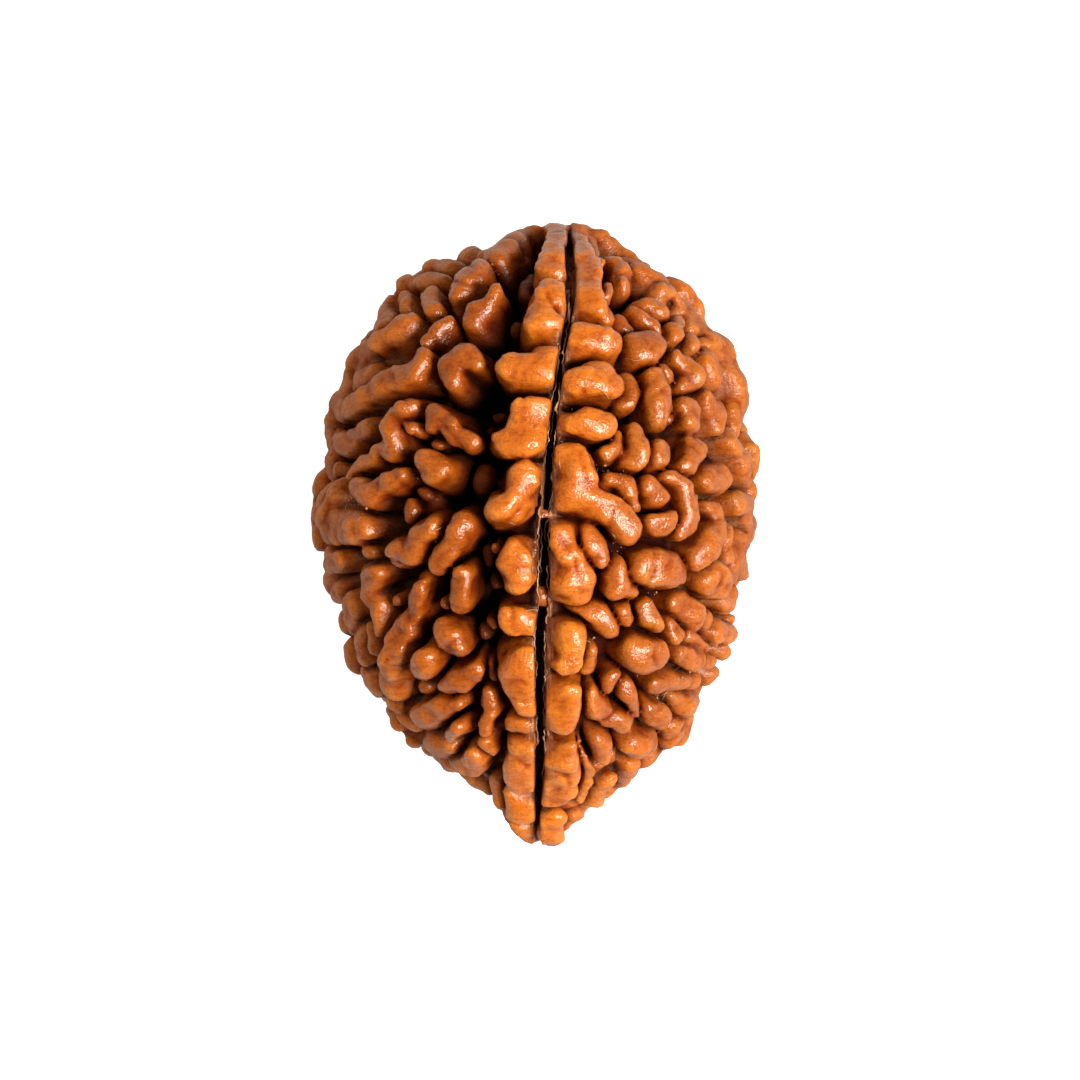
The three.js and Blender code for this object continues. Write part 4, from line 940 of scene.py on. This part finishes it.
def strand(x, y, heading, length, radius, lift, curl=0.35):
    """A hair that starts at x, y and lies loosely over the knobs."""
    count = max(6, int(length / 0.08))
    course, turns = [], wander(count, curl * 0.25, 0.9)
    for k in range(count):
        share = k / (count - 1)
        course.append((x, y, top_at(x, y) + lift * math.sin(math.pi * share) + radius))
        heading += turns[k]
        x += length / count * math.cos(heading)
        y += length / count * math.sin(heading)
    smooth = np.array(course)
    for _ in range(3):
        mean = 0.25 * (smooth[:-2] + 2 * smooth[1:-1] + smooth[2:])
        smooth[1:-1] = np.maximum(mean, smooth[1:-1] * [1, 1, 0] - [0, 0, 9])
    smooth[:, 2] = np.maximum(smooth[:, 2], [top_at(px, py) - 0.15 for px, py, _ in smooth])
    return thread(smooth, radius)


def crumb(x, y, size):
    """A dry crumb of pulp that is stuck on the stone at x, y."""
    ways = [(1, 0, 0), (0, 1, 0), (-1, 0, 0), (0, -1, 0), (0, 0, 1), (0, 0, -1)]
    z = top_at(x, y) + 0.3 * size
    points = [tuple(skin_rng.uniform(0.5, 1.4) * size * np.array(way) + [x, y, z]) for way in ways]
    faces = [(a, (a + 1) % 4, 4) for a in range(4)] + [((a + 1) % 4, a, 5) for a in range(4)]
    return points, faces


pulp_hair, tree, shader, coords = new_material("pulp_hair")
shades = texture(tree, (-700, 0), coords, Scale=1500, Detail=2)
hair_color = ramp(tree, (-500, 0), shades, [(0.35, (0.22, 0.11, 0.06)), (0.65, (0.56, 0.42, 0.3))])
tree.links.new(hair_color, shader.inputs["Base Color"])
shader.inputs["Roughness"].default_value = 0.4

# The threads in the cleft: its side, where each starts and ends along Y, its depth below the rim.
CLEFT_THREADS = [[-1, 3.6, 5.6, 0.5], [1, -0.2, 3.4, 0.35], [-1, -2.0, 1.6, 0.55], [1, -7.5, -4.6, 0.4]]
# Thicker hairs over the cleft: X, Y, heading, length.
CLEFT_HAIRS = [
    [-0.2, -4.0, 0.3, 0.8], [0.15, -3.1, 2.4, 0.9], [0.2, 3.9, -0.3, 0.8], [0.3, 3.75, 0.5, 0.5],
    [0.0, -5.4, 1.2, 0.6],
]
# Tufts of hairs and crumbs in the grooves: X, Y, how much is left there, the hairs' length.
TUFTS = [
    [3.25, 7.0, 2, 1.1], [2.4, 2.65, 6, 0.5], [3.0, -0.5, 5, 0.5], [4.35, -2.5, 5, 0.5],
    [1.9, -4.1, 3, 0.5], [4.8, -6.4, 6, 0.5], [5.6, -5.2, 4, 0.5], [-3.9, 0.2, 3, 0.5],
    [-5.0, 2.4, 3, 0.4], [-7.55, 1.4, 5, 0.5], [-7.0, 0.95, 4, 0.4], [-1.95, 9.7, 2, 0.5],
    [-2.1, 10.4, 3, 0.5], [-0.85, 0.35, 2, 0.4], [2.9, 5.4, 2, 0.9], [2.3, 6.6, 2, 0.6],
    [3.3, 2.3, 4, 0.5], [5.0, 3.9, 2, 0.4], [0.75, 5.2, 3, 0.4], [0.62, 3.1, 4, 0.4],
]
THREAD_RADIUS, THICK_HAIR, THIN_HAIR = 0.028, 0.018, 0.010
hairs, crumbs = [], []
for side, start, end, drop in CLEFT_THREADS:
    count = int((end - start) / 0.12)
    drift = wander(count, 0.03)
    course = []
    for k in range(count):
        y = start + (end - start) * k / (count - 1)
        x = cleft(y) + side * 0.5 * slot_half(y) + drift[k]
        course.append((x, y, rim_top(x, y) - drop + 0.2 * math.sin(3.1 * k / count)))
    hairs.append(thread(course, THREAD_RADIUS))
for x, y, heading, length in CLEFT_HAIRS:
    hairs.append(strand(x, y, heading, length, THICK_HAIR, 0.2))
for x, y, count, length in TUFTS:
    for _ in range(max(1, count // 3)):
        hair_x, hair_y = x + skin_rng.uniform(-0.2, 0.2), y + skin_rng.uniform(-0.2, 0.2)
        heading, hair_length = skin_rng.uniform(0, 2 * math.pi), length * skin_rng.uniform(0.6, 1.4)
        hairs.append(strand(hair_x, hair_y, heading, hair_length, THIN_HAIR, 0.12, 0.5))
    for _ in range(2 * count - 4):
        tries = [(x + a, y + b) for a, b in skin_rng.normal(0, 0.25, (4, 2))]
        crumbs.append(crumb(*min(tries, key=lambda place: top_at(*place)), skin_rng.uniform(0.03, 0.08)))
loose_piece("pulp_hairs", hairs, pulp_hair)
loose_piece("pulp_crumbs", crumbs, papery)


# The bead lies on a plain white table top, under soft, slightly warm studio lights.
floor_mesh = bpy.data.meshes.new("table_top")
floor_mesh.from_pydata([(-2, -2, 0), (2, -2, 0), (2, 2, 0), (-2, 2, 0)], [], [(0, 1, 2, 3)])
table_top = bpy.data.objects.new("table_top", floor_mesh)
bpy.context.collection.objects.link(table_top)
# It shows as plain white, and yet throws only a little light up on the bead's flanks.
white = bpy.data.materials.new("white_table")
white.use_nodes = True
tree, shader = white.node_tree, white.node_tree.nodes["Principled BSDF"]
shader.inputs["Base Color"].default_value = (0.35, 0.35, 0.35, 1)
shader.inputs["Roughness"].default_value = 0.9
shader.inputs["Emission Color"].default_value = (1, 1, 1, 1)
seen = node(tree, "ShaderNodeLightPath", (-600, 0)).outputs["Is Camera Ray"]
tree.links.new(eased(tree, (-400, 0), seen, 0, 1, 0.12, 1), shader.inputs["Emission Strength"])
floor_mesh.materials.append(white)

world = bpy.data.worlds.new("studio")
world.use_nodes = True
world.node_tree.nodes["Background"].inputs["Color"].default_value = (1, 1, 1, 1)
world.node_tree.nodes["Background"].inputs["Strength"].default_value = 0.13
bpy.context.scene.world = world


def soft_light(name, place, size, watts):
    """A warm, square light that faces the middle of the bead. Its place and size are in metres."""
    light = bpy.data.lights.new(name, "AREA")
    light.size, light.energy, light.color = size, watts, (1.0, 0.95, 0.84)
    lamp = bpy.data.objects.new(name, light)
    lamp.location = place
    lamp.rotation_euler = (Vector((0, 0, 0.0086)) - Vector(place)).to_track_quat("-Z", "Y").to_euler()
    bpy.context.collection.objects.link(lamp)
    return lamp


soft_light("key", (0.185, -0.055, 0.285), 0.15, 2.45)
# The fill is wide and dim, and is kept out of the gloss of the knobs.
soft_light("fill", (-0.22, 0.12, 0.26), 0.4, 0.85).visible_glossy = False

# The camera looks straight down, from nearly half a metre above the bead.
camera_data = bpy.data.cameras.new("camera")
camera_data.lens = 400
camera_data.sensor_width = 36
camera = bpy.data.objects.new("camera", camera_data)
camera.location = (0, -0.16 * MM, LIFT * MM + 0.48)
bpy.context.collection.objects.link(camera)
bpy.context.scene.camera = camera
bpy.context.scene.view_settings.view_transform = "Standard"
